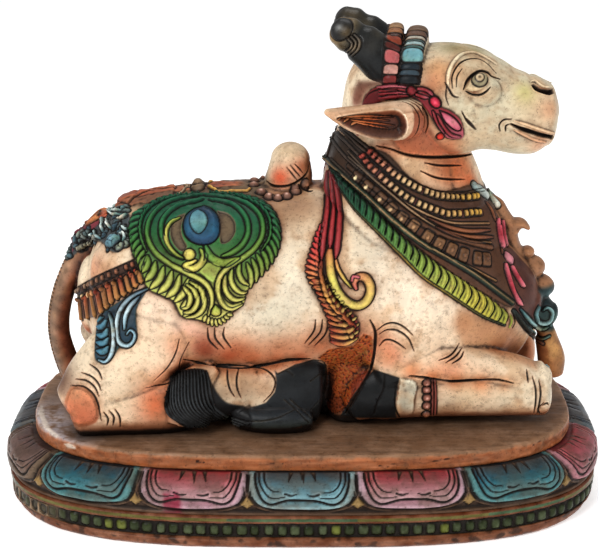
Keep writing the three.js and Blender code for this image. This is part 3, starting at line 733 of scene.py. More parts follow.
# Where the carving lies, as lines and outlines of pixels of the photograph.
PLACES_PX = {
    "body_creases": [
        [(207.6, 327.7), (209.1, 339.9), (218.3, 349.9)],
        [(214.9, 327.4), (215.5, 338.4), (224.4, 349.4)],
        [(224.4, 327.7), (223.6, 336.8), (231.3, 348.3)],
        [(315.5, 320), (314, 330.7), (304.8, 343.7)],
        [(322.4, 320), (320.1, 332.3), (308.6, 345.3)],
        [(328.5, 320), (325.5, 333.8), (314.8, 346)],
        [(376.8, 330.7), (385.2, 324.6), (394.4, 323.1), (403.6, 326.9), (412.8, 335.3)],
        [(379.1, 334.5), (386.7, 330), (397.5, 330.7), (408.2, 338.4), (414.3, 351.4)],
        [(379.1, 346), (385.2, 339.9), (394.4, 341.4), (405.9, 349.1)],
        [(227.5, 367.5), (227.5, 378.2), (229.8, 388.9), (234.4, 396.6)],
        [(239, 367.5), (236.7, 378.2), (237.4, 388.9), (241.3, 398.1)],
        [(198.4, 363.6), (225.9, 364.7), (248.9, 366.2), (265.8, 369.8), (274.9, 379.7), (272.6, 392),
         (263.5, 401.9)],
        [(89.8, 364.1), (98, 370.7), (102.2, 379.8)],
        [(81.5, 372.4), (91.4, 376.5), (98, 383.2), (101, 390.6)],
        [(75.7, 379), (86.4, 380.7), (94.7, 387.3), (98.9, 396.4)],
        [(70.7, 385.6), (83.1, 386.5), (93.1, 393.9), (98, 403.9), (99.7, 412.2), (101.4, 420.5)],
        [(103.8, 412.2), (108, 418.8), (107.2, 425.4)],
        [(108.8, 410.5), (113.8, 417.1), (113, 425.4)],
        [(114.6, 408.9), (119.6, 417.1), (120.4, 427.1)],
        [(179.3, 339.2), (176, 352.5), (167.7, 367.4), (154.4, 380.7)],
        [(189.3, 341.7), (181, 359.1), (177.6, 372.4), (169.4, 382.3), (156.1, 385.6), (146.1, 388.1)],
        [(439.1, 360.3), (449, 356.2), (455.6, 349.6), (459.3, 343.3)],
        [(445.7, 362.8), (455.6, 356.2), (461.9, 347.9)],
        [(452.3, 363.6), (460.6, 357.8), (463.6, 351.2)],
        [(532.4, 376), (535.7, 389.2), (535.7, 402.4), (533.3, 415.6)],
        [(539, 379.3), (540.7, 392.5), (539, 405.7), (536.6, 415.6)],
        [(526.7, 369.4), (528.3, 382.6)],
        [(544, 402.4), (538.2, 409), (540.7, 414), (547.3, 410.7)],
        [(542.3, 405.7), (547.3, 403.2), (549.8, 407.4)],
    ],
    "deep_creases": [
        [(369.9, 320), (374.5, 329.2), (375.3, 339.9), (371.4, 365.9), (362.2, 384.3), (345.4, 413.4)],
        [(183.1, 359.5), (210.6, 364.7), (241.3, 367.8), (265.8, 364.7), (287.2, 360.1), (310.2, 358.6)],
        [(409.4, 376), (422.6, 377.6), (447.4, 380.9), (472.1, 380.1), (496.9, 380.1), (513.4, 383.4)],
    ],
    "throat_creases": [
        [(424.6, 162.7), (439.4, 165.4), (461.6, 165.4)],
        [(420.9, 171), (435.7, 177.4), (450.5, 179.3), (464.3, 179.3)],
    ],
    "hump_creases": [
        [(286.3, 166.7), (291.9, 173.7), (297.5, 180.7)],
        [(290.1, 165), (295.4, 171.1), (300.7, 176.8)],
        [(294.7, 163.9), (298.9, 168.1), (303.1, 173)],
    ],
    "hump_base": [
        [(265.9, 180.7), (272.9, 185.6), (285.6, 186.3), (296.8, 182.1), (306.6, 173.7), (309.7, 162.4),
         (310.8, 154)],
    ],
    "hump_beads": [
        [(254, 184.9), (261, 192.2), (269, 196.8), (277.9, 197.8), (286.7, 196.4), (295.7, 191.9),
         (305.2, 183.8), (311.9, 176.2), (317.6, 168.1), (320.6, 158.2), (320.9, 150.5)],
    ],
    "medallion": [
        [(132.6, 213), (128.4, 231.2), (131.9, 252.2), (141, 273.3), (148.1, 288.7), (162.1, 295.7),
         (173.3, 301.4), (181.7, 316.1), (193, 318.9), (204.2, 321), (215.4, 324.5), (226.6, 319.6),
         (232.2, 312.6), (243.5, 304.2), (247, 291.5), (260.3, 274.7), (272.9, 260.7), (280, 243.8),
         (278.6, 224.2), (271.5, 210.2), (254.7, 198.9), (232.2, 195.4), (207, 193), (180.3, 196.1),
         (162.1, 200.3), (145.3, 207.3)],
    ],
    "outer_ring": [
        [(204.2, 197.2), (180.3, 200.3), (162.1, 207.6), (150.2, 221.4), (147.8, 238.2), (154.4, 252.2),
         (167.7, 263.2), (186.6, 272.6), (202.8, 281), (210.1, 290.1), (211.9, 301.4), (208.4, 314)],
        [(205.6, 197.2), (232.2, 199.6), (249.8, 206.6), (261, 218.6), (262.4, 235.4), (254, 249.4), (240, 260),
         (227.3, 268.4), (219.3, 278.2), (217.5, 291.5), (222.4, 303.5), (230.8, 308.4), (242.1, 304.2)],
    ],
    "inner_ring": [
        [(202.8, 201.7), (181.7, 206.2), (169.1, 213.7), (162.1, 224.2), (162.8, 238.2), (170.5, 250.8),
         (183.1, 259.3)],
        [(209.8, 201.5), (226.6, 203.4), (239.3, 210.2), (247, 221.4), (248, 234), (242.4, 245.2), (232.2, 253),
         (222.4, 256.5)],
    ],
    "rim_ring": [
        [(198.6, 195.4), (174.7, 198.9), (155.1, 205.9), (143.2, 218.6), (141, 236.8), (146.7, 252.2)],
        [(209.8, 195), (237.9, 197.8), (257.5, 205.9), (268.7, 218.6), (269.9, 236.8), (261.7, 250.8)],
    ],
    "yellow_crescent": [
        [(180.3, 218.6), (172.2, 222.8), (167.4, 229.8), (166.6, 239.6), (170.8, 248.7), (177.5, 255.8),
         (183.8, 258.6)],
    ],
    "curl": [[(195.8, 260.9), (185.9, 266.3), (193, 268.8), (200.7, 264.2), (204.2, 256.5), (200.7, 250.1)]],
    "right_scroll": [[(205.9, 246.6), (210.5, 257.2), (223.8, 263.2), (238.6, 258.6)]],
    "stem": [[(202.1, 244.5), (204.9, 252.2), (204.2, 260.7)]],
    "bud": [
        [(204.2, 207.1), (194.4, 210.2), (185.9, 217.2), (183.4, 227), (185.9, 236.8), (193, 243.1),
         (202.8, 245.5), (212.6, 243.1), (218.5, 236.8), (219.9, 227), (218.2, 217.2), (211.9, 210.2)],
    ],
    "bud_heart": [
        [(198.6, 213.7), (192.3, 217.9), (190.2, 224.9), (193, 232.6), (199.3, 236.8), (205.6, 231.9),
         (208.4, 224.2), (205.6, 217.2)],
    ],
    "left_well": [
        [(185.9, 214.4), (176.1, 218.6), (170.8, 227), (170.8, 238.2), (176.1, 248), (182.4, 252.2),
         (187.6, 247.3), (183.1, 238.2), (181.7, 227)],
    ],
    "right_well": [
        [(216.8, 211.6), (228, 214.4), (235.3, 222.8), (235.3, 234), (229.4, 242.4), (221.3, 244.5),
         (219.3, 235.4), (219.9, 222.8)],
    ],
    "stem_leaf": [
        [(198.6, 271.9), (204.2, 264.9), (211.2, 262.4), (221, 266.6), (216.8, 274.7), (212.9, 282.4)],
    ],
    "drop": [[(215.4, 303.5), (210.5, 309.1), (211.2, 314), (215.7, 315.7), (220.5, 313.7), (220.7, 308.4)]],
    "left_lobe_inner": [[(148.1, 257.2), (162.1, 267), (178.9, 275.4), (194.4, 282.4), (204.2, 289.4)]],
    "left_lobe_outer": [[(143.2, 271.9), (150.2, 286.6), (166.3, 296.4), (179.6, 304.2), (184.5, 315.4)]],
    "left_lobe_arcs": [
        [(190.2, 281.7), (200, 288.7), (204.2, 298.6), (202.8, 308.4), (195.8, 314.7), (185.9, 317.1)],
        [(187.3, 284.5), (195.1, 291.5), (197.2, 300.7), (193, 309.1), (184.5, 311.9)],
        [(183.8, 286.6), (189.5, 293.6), (190.2, 301.4), (187.1, 307), (182.4, 307.7)],
    ],
    "right_lobe_arcs": [
        [(219.9, 280.3), (219.3, 292.2), (223.5, 301.4), (231.5, 305.6), (240.9, 302.5)],
        [(225.5, 274.7), (224.5, 285.9), (228, 294.3), (235.1, 299.3), (244.2, 297.9)],
        [(232.2, 268.4), (230.8, 278.9), (234.4, 287.3), (240.9, 292.2), (246.3, 292.2)],
        [(240, 263.5), (238.6, 271.9), (242.1, 280.3), (248.4, 284.5)],
    ],
    "left_fan_inner": [
        [(198.6, 195.4), (174.7, 198.9), (155.1, 205.9), (143.2, 218.6), (141, 236.8), (147.4, 256.5)],
    ],
    "left_fan_outer": [
        [(198.6, 193), (170.5, 196.1), (145.3, 205.9), (131.9, 218.6), (130.1, 238.2), (141, 270.5)],
    ],
    "right_fan_inner": [
        [(209.8, 195), (237.9, 197.8), (257.5, 205.9), (267.3, 218.6), (268, 236.8), (258.9, 252.2),
         (247, 263.5)],
    ],
    "right_fan_outer": [
        [(218.2, 193.6), (246.3, 195.8), (268.7, 205.9), (278.6, 222.8), (279.7, 243.8), (270.8, 264.9),
         (250.5, 287.3)],
    ],
    "drop_ticks_inner": [[(205.9, 314.7), (211.2, 317.9), (216.8, 318.9), (222.4, 317.1), (227.3, 313.3)]],
    "drop_ticks_outer": [[(203.9, 321.3), (210.5, 324.9), (216.8, 325.9), (224.5, 322.4), (232, 315.4)]],
    "spine_strip": [
        [(112.3, 202.3), (120.4, 197.9), (133.8, 193.4), (147.1, 189.8), (165, 186.2), (175.7, 185.2)],
        [(128.4, 205.4), (138.2, 198.3), (156.1, 192.7), (175.7, 190)],
    ],
    "spine_rim": [[(120, 196.8), (141, 188.4), (162.1, 185.2), (181.7, 185.2), (190.2, 188.4)]],
    "gold_line": [[(209.8, 183.5), (223.8, 180), (240.7, 178.6), (250.5, 179.6)]],
    "tail_edge": [
        [(57, 260.4), (63.2, 247.9), (69.5, 238), (77.5, 228.2), (86.4, 220.2), (97.1, 212.1), (107.9, 205.4),
         (112.3, 203.4)],
    ],
    "tail_cloth": [
        [(62.3, 260.4), (68.6, 247.9), (74.8, 238), (82.9, 229.1), (93.6, 220.2), (104.3, 213.5),
         (111.4, 207.7)],
    ],
    "maroon_patch": [
        [(74.8, 238), (82.9, 230), (93.6, 222.9), (106.1, 215.7), (102.5, 221.1), (93.6, 230), (86.4, 237.1),
         (79.3, 242.5), (74.8, 249.6), (73, 253.2), (73.9, 244.3)],
    ],
    "rump_white": [
        [(73, 237.1), (69.5, 244.3), (66.8, 248.8), (65.4, 252.3)],
        [(71.2, 238.5), (66.8, 246.1)],
        [(94.5, 230), (96.2, 235.4), (101.6, 239.4)],
        [(102.5, 220.2), (101.6, 226.4), (104.3, 232.7)],
        [(107, 219.3), (108.8, 225.1), (113.2, 229.6)],
        [(111.4, 213.9), (117.7, 215.7), (123, 214.8)],
        [(114.1, 210.4), (120.4, 211.2), (125.7, 209.5)],
        [(117.7, 219.3), (123, 218.4), (127.5, 215.7)],
        [(90, 235.4), (93.6, 233.6)],
        [(123, 228.2), (125.7, 230), (129.3, 230)],
        [(118.6, 235.4), (123, 234.5), (124.8, 238), (123, 241.6)],
    ],
    "rump_beads": [[(78.4, 248.8), (82.9, 246.5), (87.3, 243.8), (92.2, 241.2), (97.1, 238)]],
    "rump_dark": [
        [(62.3, 260.4), (58.8, 256.8), (63.2, 246.1), (70.4, 237.1), (75.7, 232.7), (82.9, 230), (106.1, 215.7),
         (114.1, 209.5), (125.7, 207.7), (130.2, 218.4), (128.4, 230), (129.3, 244.3), (123.9, 248.8),
         (116.8, 252.8), (107.9, 249.6), (102.5, 242.5), (95.4, 241.6), (88.2, 246.5), (79.3, 250.5),
         (73.9, 255.9)],
    ],
    "garland_top": [[(77.3, 291.4), (89.8, 284.1), (106.3, 276.2), (121.3, 269.6), (134.5, 263.7)]],
    "garland_low": [[(79.8, 298.6), (93.1, 292.8), (108, 284.8), (122.9, 277.8), (137.8, 270.9)]],
    "garland_hem": [
        [(81.5, 319.3), (93.1, 317.3), (103.8, 311.8), (113, 301.9), (126.2, 294.4), (141.5, 282.5)],
    ],
    "feather_dark": [
        [(150.3, 286.1), (134.5, 291.1), (119.6, 301.1), (104.7, 311), (98, 319.3), (95.6, 334.2),
         (94.7, 355.8), (98, 362.4), (108, 363.3), (114.6, 355.8), (119.6, 347.5), (129.6, 346.7), (136.2, 340),
         (137, 329.3), (136.2, 317.6), (137.8, 306)],
    ],
    "feather_white": [
        [(147.8, 288.6), (132.9, 296.1), (122.9, 306), (117.6, 319.3), (116.6, 332.6), (119.6, 342.5),
         (127.1, 345.8), (132.9, 341.7), (134.9, 334.2), (130.4, 330.1), (127.1, 334.2)],
        [(139.5, 296.1), (130.4, 306), (125.4, 317.6), (124.6, 329.3)],
        [(109.7, 312.7), (113, 325.9), (113.8, 340.9), (111.3, 354.1), (105.5, 361.6), (98.9, 359.9)],
    ],
    "feather_blue": [
        [(103.8, 317.6), (98.9, 321)],
        [(107.2, 321), (102.2, 326.8), (98, 327.6)],
        [(108, 329.3), (103.8, 335.9), (97.7, 335.1)],
        [(108.3, 338.4), (103.8, 343.3), (97.2, 342.5)],
        [(108.3, 346.7), (103.8, 351.6), (97.2, 350.8)],
    ],
    "sash_red": [
        [(328.5, 170.8), (327, 184.7), (328.1, 203.2), (325.7, 223.5), (322.9, 242), (321.5, 258.6)],
        [(331.8, 171.8), (332.6, 190.2), (333.7, 208.7), (331.8, 227.2), (330, 247.5)],
        [(335, 175.5), (338.1, 193.9), (339.6, 208.7), (338.7, 230.9), (336.8, 249.4), (335.5, 257.7)],
    ],
    "sash_scroll": [
        [(330, 247.5), (330, 262.3), (331.8, 277.1), (337.7, 291.9), (347, 302.1), (357.1, 305.8),
         (365.5, 302.1), (370.1, 293.8), (370.1, 285.4), (365.5, 278), (358.4, 277.1), (354.4, 282.7),
         (356.2, 288.6)],
    ],
    "sash_scroll_inner": [[(335.5, 257.7), (337.7, 267.9), (344.2, 279), (351, 287.3)]],
    "sash_scroll_outer": [
        [(321.5, 258.6), (321.1, 273.4), (325.7, 291.9), (335, 306.7), (345.1, 315.9), (355.3, 325.2)],
    ],
    "sash_tip": [[(358.4, 277.1), (353.4, 276.2), (351.6, 280.8)]],
    "sash_left_edge": [
        [(323.5, 222.8), (317.1, 231.2), (312.9, 243.8), (308.7, 256.5), (305.9, 269.1), (308.7, 280.3),
         (314.3, 289.4), (321.3, 298.6), (327.7, 308.4), (331.2, 316.8)],
    ],
    "sash_leaf_spine": [
        [(319.9, 227), (318.5, 241), (318.1, 255.1), (319.9, 269.1), (324.9, 283.1), (333.3, 295.7)],
    ],
    "leaf_spine_low": [[(333.1, 301.6), (342.3, 310.8), (350, 320), (354.6, 329.2), (353.8, 338.4)]],
    "collar_top": [
        [(328.5, 166.2), (347, 183.8), (365.5, 201.3), (387.6, 223.5), (413.5, 245.7), (439.4, 265.1),
         (463.4, 280.4), (487.4, 296.5), (508.7, 313.2)],
    ],
    "collar_low": [
        [(337.7, 184.7), (354.4, 208.7), (372.8, 227.2), (395, 249.4), (420.9, 275.3), (444.9, 291.9),
         (461.6, 303), (481.9, 315.9), (505, 325.5)],
    ],
    "green_band": [
        [(327.6, 159.7), (345.1, 176.4), (367.3, 195.8), (391.3, 218.9), (419.1, 241.1), (446.8, 257.7),
         (472.7, 273.4), (496.7, 291), (511.5, 302.1)],
    ],
    "necklace_1": [
        [(371, 151.4), (378, 158.4), (385.4, 165.3), (393.2, 173.2), (400.6, 178.2), (408, 182.8),
         (416.3, 187.5), (425.5, 191.2), (434.8, 194.9), (443.5, 196.5), (452, 197.6), (460.6, 197.3),
         (469, 196.7), (476.4, 195.8)],
    ],
    "necklace_2": [
        [(363.6, 156), (369.1, 164.4), (376.9, 172.1), (384.3, 179.1), (391.7, 185.6), (400, 192.5),
         (408.9, 198.6), (417.6, 203.2), (427.4, 207.2), (437.5, 210.9), (446.4, 213.9), (455.1, 213.7),
         (463.4, 213.7), (471.2, 212.8), (479.1, 212.4)],
    ],
    "fine_line": [
        [(349.7, 151.4), (365.5, 169), (387.6, 186.5), (406.1, 202.3), (428.3, 215.2), (450.5, 222.6),
         (472.7, 223.5), (487.4, 223.5)],
        [(349.7, 157), (371, 176.4), (391.3, 193.9), (413.5, 212.4), (439.4, 229.4), (467.1, 239.8),
         (489.3, 242.4)],
        [(332.2, 159.7), (352.5, 179.1), (371, 197.6), (391.3, 216.1), (413.5, 235.5), (439.4, 253.1),
         (467.1, 266), (494.8, 280.8)],
        [(372.8, 150.5), (387.6, 163.4), (406.1, 177.3), (424.6, 188.4), (443.1, 193), (463.4, 193),
         (480.1, 190.2)],
    ],
    "band_brown": [
        [(349.7, 166.2), (371, 184.7), (393.2, 203.2), (417.2, 220.7), (443.1, 234.6), (469, 242),
         (490.2, 247.5)],
    ],
    "pendant_line": [
        [(357.1, 178.2), (371, 191.2), (383.9, 202.8), (396.9, 216.1), (413.5, 227.2), (430.1, 239.2),
         (447.7, 248.5), (465.3, 255.9), (479.1, 258.6), (488.4, 259.6)],
    ],
    "nape_strings": [
        [(334, 129.4), (350.7, 146), (371, 166.4)],
        [(339.6, 127.5), (358.1, 144.2), (380.2, 164.5)],
        [(330.3, 134.9), (343.3, 153.4), (363.6, 173.8)],
        [(345.1, 129.4), (365.5, 146), (387.6, 162.7)],
    ],
    "neck_area": [
        [(334, 131.1), (367.3, 147.7), (387.6, 155.1), (413.5, 182.8), (439.4, 192.1), (480.1, 184.7),
         (494.8, 208.7), (505.9, 260.5), (515.2, 304.8), (487.4, 295.6), (439.4, 264.2), (387.6, 221.7),
         (328.5, 166.2)],
    ],
    "chest_links": [[(474, 185.6), (485.3, 195.4)], [(489.5, 195.4), (496.5, 203.9)]],
    "chest_ribbon": [
        [(496.5, 219.3), (497.9, 233.3), (501.4, 248.8)],
        [(502.1, 220.7), (503.5, 233.3), (506.3, 245.9)],
        [(504.2, 264.2), (509.1, 281), (516.1, 296.5), (521.7, 304.9)],
        [(511.2, 265.6), (517.5, 276.8), (523.8, 286.6)],
    ],
    "chest_spiral": [
        [(514.7, 310.5), (520.3, 318.9), (530.2, 330.1), (541.4, 338.6), (549.8, 335.7)],
        [(520.3, 309.1), (527.3, 317.5), (535.8, 325.9), (544.2, 328.7), (551.2, 323.1)],
        [(538.6, 306.3), (535.8, 314.7), (538.6, 321.7), (545.6, 323.1), (551.2, 318.9), (551.9, 311.9),
         (547, 307.7), (542.8, 310.5)],
    ],
    "chest_rim": [[(513.3, 310.5), (521.7, 323.1), (533, 335.7), (542.8, 343.5)]],
    "chest_stipple": [
        [(458.9, 309.9), (483.7, 318.2), (506.8, 328.1), (523.3, 333), (539.9, 346.3), (536.6, 369.4),
         (513.4, 361.1), (480.4, 349.6), (462.2, 346.3), (458.1, 333), (457.6, 319.8)],
    ],
    "breast_stipple": [
        [(329.3, 349.1), (353, 346), (363.8, 333.8), (372.2, 336.8), (373.7, 358.3), (367.6, 370.5),
         (362.2, 381.3), (354.6, 381.3), (356.1, 388.9), (345.4, 411.9), (333.1, 414.9), (324, 410.4),
         (327.8, 381.3), (327, 364.4), (317.8, 358.3)],
    ],
    "anklet_beads": [[(426.7, 382.6), (426.7, 390), (427, 397.8), (426.7, 405.7), (426.2, 414)]],
    "anklet_ridges": [
        [(431.8, 380.6), (432.5, 392.5), (432.5, 405.7), (431.7, 418.9)],
        [(434.8, 380.9), (435.5, 392.5), (435.5, 405.7), (434.6, 418.9)],
    ],
    "fore_hoof": [
        [(373.9, 369.4), (389.6, 374.3), (399.8, 377.6), (397, 392.5), (395.3, 405.7), (397, 418.1),
         (356.5, 418.1), (340, 415.6), (354.9, 392.5)],
    ],
    "fore_hoof_lines": [
        [(384.6, 374.3), (383.3, 389.2), (377.2, 402.4), (373.9, 414)],
        [(397, 382.6), (395.3, 395.8), (395.3, 407.4), (399.5, 417.3)],
    ],
    "fetlock": [
        [(399.8, 377.6), (412.7, 379.3), (417.6, 385.9), (415.2, 399.1), (412.7, 414), (397.8, 415.6),
         (395.3, 405.7), (397, 392.5)],
    ],
    "hind_hoof": [
        [(274.9, 370.5), (278, 373.6), (294.9, 364.4), (314.8, 359.5), (325.8, 364.4), (325.5, 381.3),
         (322.4, 396.6), (310.2, 411.9), (311.7, 424.1), (287.2, 430.3), (264.2, 431), (245.8, 427.2),
         (232.1, 419.5), (241.3, 410.4), (256.6, 405.8), (265.8, 402.7), (274.9, 392), (276.5, 381.3)],
    ],
    "hind_hoof_lines": [
        [(232.1, 418.8), (248.9, 421.4), (271.9, 419.5), (287.2, 413.4), (294.1, 410)],
        [(278, 373.6), (294.9, 365.9), (314.8, 360.1), (325.5, 364.7), (325.5, 381.3), (321.7, 396.6),
         (310.2, 410.4)],
        [(284.1, 399.6), (296.4, 410.4), (308.6, 422.9)],
        [(290.3, 399.6), (302.5, 410.4), (313.2, 419.5)],
        [(310.2, 381.3), (320.9, 373.6)],
        [(287.2, 370.5), (293.3, 375.1)],
    ],
    "hock_ball": [
        [(64.9, 400.6), (70.7, 387.3), (83.1, 387.3), (93.1, 394.8), (97.7, 403.9), (98.9, 413.8),
         (96.4, 422.1), (81.5, 427.1), (69.9, 422.1), (64, 412.2)],
    ],
    "ear_hollow": [
        [(335.9, 117.7), (356.2, 114.2), (380.2, 111.5), (395, 110.5), (402.8, 114.6), (406.5, 123.8),
         (404.6, 133.5), (397.2, 138.3), (383.9, 139), (371, 137.2), (356.2, 131.6), (343.3, 124.8)],
    ],
    "ear_rim": [
        [(323.9, 112.4), (343.3, 110.2), (365.5, 106.8), (383.9, 103.5), (396.9, 102), (407, 103.5),
         (412.6, 110.9), (413.5, 122), (410.7, 132.2), (402.4, 139), (389.5, 141.4), (372.8, 140.1),
         (354.4, 134), (337.7, 125.7), (327.6, 116.5)],
    ],
    "ear_stripes": [
        [(337.7, 119.8), (358.1, 118.3), (380.2, 120.1), (393.2, 122)],
        [(343.3, 123.5), (365.5, 124.8), (387.6, 127.5), (398.7, 129.4)],
        [(350.7, 127.5), (371, 130.3), (391.3, 134)],
        [(339.6, 118.3), (359.9, 116.1), (383.9, 115), (396.9, 116.8)],
    ],
    "ear_roots": [
        [(402.4, 101.3), (412.6, 105.7), (418.1, 114.6), (418.7, 123.8), (415.4, 133.1), (408, 139.6)],
        [(407, 100.2), (417.2, 105.4), (422.8, 114.6), (423.1, 124.8), (420, 134), (412.6, 140.9)],
        [(410.7, 99.4), (420.9, 105.4), (426.8, 115), (427.6, 125.7), (423.7, 135.9)],
    ],
    "brow_ridge": [
        [(449, 92.4), (447.7, 81.3), (449.6, 70.2), (455.1, 60.1), (463.4, 53.6), (474.5, 52.7), (485.6, 57.7),
         (496.7, 64.7)],
    ],
    "nostril_rim": [[(530, 82.3), (534.6, 81.3), (542.9, 86.9), (552.1, 87.8)]],
    "cheek_lines": [
        [(461.6, 110.9), (466.2, 119.2), (470.8, 123.8)],
        [(467.1, 118.3), (476.4, 129.4)],
        [(446.8, 84.1), (445.9, 96.1), (448.6, 105.4)],
    ],
    "halter": [
        [(363.2, 103.5), (367.3, 94.3), (376.5, 87.8), (389.5, 83.5), (402.4, 83.5), (409.8, 86.5),
         (420.9, 86.9), (430.1, 90.9), (439.4, 99.8), (441.6, 107.2), (450.5, 110.9), (460.6, 120.1),
         (463.8, 135.9), (457.9, 139), (446.8, 137.7), (439.4, 129.4), (432, 118.3), (424.6, 107.2),
         (413.5, 98), (398.7, 98.9), (383.9, 99.8), (372.8, 101.3)],
    ],
    "halter_ridges": [
        [(365.5, 101.7), (371, 93.3), (382.1, 87.2), (393.2, 85.4), (406.1, 86.9)],
        [(374.7, 98), (387.6, 93.3), (398.7, 92.4), (408, 93.5)],
        [(413.5, 89.6), (422.8, 89.1), (430.1, 92.4), (433.5, 96.9)],
        [(413.5, 93.3), (420.9, 96.1), (428.3, 97.6)],
        [(432.9, 110.9), (437.5, 122), (444, 132.2)],
        [(437.5, 114.6), (443.1, 125.7), (450.5, 134), (459.7, 135.9)],
    ],
    "halter_leaf": [
        [(439.4, 110), (447.7, 113.1), (456, 119.2), (461.2, 127.5), (457.9, 130.3), (451.4, 127.5),
         (444, 120.1)],
    ],
    "horn_rings": [
        [(354.4, 35.1), (359.5, 41), (358.4, 48.4), (352.1, 55.1)],
        [(351, 37), (355.8, 42.1), (354.7, 48.4), (348.8, 53.6)],
        [(347.9, 38.8), (351.8, 43.4), (351, 48.4), (346, 51.8)],
    ],
    "nape_red": [
        [(358.4, 81.3), (381.2, 81.3), (383.9, 84.1), (371, 88.4), (364, 96.1), (361.8, 103.9), (353.4, 105.4),
         (352.9, 92.4)],
    ],
    "strap_lines": [[(365.8, 99.2), (370.6, 93.1), (380.1, 89.6), (393.4, 88.9), (405.8, 91.2)]],
    "jaw_shadow": [
        [(376.3, 145.9), (389.6, 148.7), (406.8, 154.8), (425.9, 157.1), (444.9, 157.1), (464, 155.4),
         (483.1, 151.6)],
    ],
    "mouth_deep": [[(510.7, 124), (519.3, 128.1), (530.7, 132), (542.2, 135.4), (553.6, 137.7)]],
    "lip_top": [[(513.6, 120.5), (525, 124), (536.5, 128.1), (547.9, 131.6), (556.5, 133.5)]],
    "lip_low": [[(513.6, 129.7), (523.1, 134.4), (534.6, 139.6), (546, 142.1)]],
    "mouth_curl": [
        [(511.7, 119.2), (504, 119.8), (499.3, 124.9), (500.2, 131.6)],
        [(509.8, 124), (505.9, 125.9), (505.6, 131.6)],
    ],
    "almond": [
        [(464.4, 89.2), (467.8, 82), (472.6, 76.3), (479.3, 72.5), (485.9, 73.4), (488.8, 77.2), (487.8, 83.9),
         (483.1, 89.6), (475.4, 92.5), (468.8, 91.5)],
    ],
    "lid_top": [
        [(463.6, 89.6), (466.9, 81), (472.6, 74.8), (480.2, 70.9), (487.8, 72.5), (491.6, 76.3), (500.2, 79.1)],
    ],
    "lid_low": [[(465.9, 91.2), (471.6, 94.4), (479.3, 95), (485.9, 91.9), (490.7, 86.8)]],
    "brow_line": [
        [(452.6, 88.7), (452.2, 76.3), (458.3, 64.8), (467.8, 59.1), (479.3, 59.1), (488.8, 64.8),
         (496.4, 73.4)],
    ],
    "brow_line_2": [[(456.4, 86.8), (457.3, 76.3), (462.1, 68.6)]],
    "temple": [[(444.9, 82), (452.6, 95.3), (458.3, 97.3)]],
    "nostril_shape": [
        [(531.1, 84.9), (533.6, 83.9), (540.3, 88.1), (547.9, 89.2), (552.7, 88.7), (554, 93.4), (549.8, 95.3),
         (542.2, 93.4), (534.6, 90)],
    ],
    "cheek_dark": [[(462.1, 112.5), (467.8, 122), (475.4, 129.7)]],
}

# The places of single beads.
SPOTS_PX = {
    "spine_knob": (198.6, 185.2),
    "rump_ball": (113.4, 241.6),
    "curl_ball": (189.5, 255.1),
    "chest_knot": (508.4, 257.9),
    "iris": (479.7, 79.5),
    "halter_knob": (435.3, 102),
    "halter_knot": (410.7, 90.6),
    "halter_bud": (440.3, 136.4),
    "horn_knob": (340.5, 27.7),
}


# The forms of the bull: stations in millimetres, with heights above the seat.
TRUNK = [
    [-139, 0, 74, 34, 32, 26],
    [-131, 0, 74, 49, 50, 42],
    [-118, 0, 74, 57, 61, 54],
    [-98, 0, 76, 62, 66, 62],
    [-70, 0, 80, 63, 67, 66],
    [-38, 0, 84, 60, 66, 66],
    [-5, 0, 85, 58, 65, 66],
    [28, 0, 84, 59, 66, 66],
    [60, 0, 80, 59, 70, 64],
    [92, 0, 76, 54, 70, 58],
    [118, 0, 73, 46, 51, 54],
    [137, 0, 70, 36, 34, 48],
    [150, 0, 66, 25, 20, 38],
]
NECK = [
    [62, 0, 84, 50, 56, 76],
    [60, 0, 118, 51, 53, 73],
    [58, 0, 146, 46, 46, 57],
    [60, 0, 168, 40, 42, 44],
    [62, 0, 190, 36, 38, 40],
    [64, 0, 214, 32, 36, 36],
    [66, 0, 230, 26, 30, 28],
]
HAUNCH = [[-122, -30, 80, 20, 36, 40], [-104, -36, 84, 26, 44, 46], [-84, -40, 80, 25, 40, 36],
          [-68, -44, 72, 18, 24, 20]]
SHOULDER = [[86, -26, 118, 22, 32, 30], [76, -34, 92, 24, 36, 32], [64, -40, 64, 20, 32, 28],
            [54, -44, 42, 15, 22, 22]]
HIND_SHANK = [
    [-78, -46, 76, 15, 22, 22],
    [-94, -52, 62, 16, 25, 27],
    [-113, -55, 45, 16, 26, 26],
    [-130, -57, 31, 15, 21, 21],
    [-143, -58, 18, 15, 15, 15],
]
HIND_CANNON = [
    [-142, -58, 16, 14.5, 15, 14.5],
    [-118, -58, 17, 13, 14, 14],
    [-94, -57, 18, 12, 16, 15],
    [-66, -53, 24, 12, 17, 15],
    [-44, -49, 28, 12.5, 14, 13],
    [-32, -47, 28, 12, 13, 13],
]
HIND_HOOF = [[-34, -47, 24, 12, 14, 14], [-22, -46, 24, 14, 18, 17], [-6, -44, 25, 15, 21, 19],
             [8, -42, 25, 12, 19, 19]]
HIND_TOE = [[-42, -52, 12, 8, 5, 7], [-28, -56, 7, 9, 8, 7], [-8, -57, 7, 9, 8, 7], [4, -54, 7, 7, 5, 6]]
FORE_ARM = [
    [53, -44, 36, 15, 20, 22],
    [78, -44, 40, 14, 18, 16],
    [106, -43, 41, 12.5, 12, 12],
    [134, -42, 34, 12.5, 13, 12],
    [154, -40, 24, 13.5, 14, 14],
]
FORE_CANNON = [
    [156, -40, 19, 14, 14.5, 14.5],
    [136, -41, 18, 13.5, 13.5, 14],
    [106, -42, 17.5, 13, 13, 13.5],
    [80, -43, 17.5, 13, 13, 13.5],
    [62, -43, 18.5, 14, 15, 15],
]
FORE_HOOF = [[64, -43, 19, 14.5, 16, 16], [54, -43, 20, 16, 18, 18], [44, -43, 16, 15, 15, 15],
             [35, -43, 9, 12, 8, 9]]
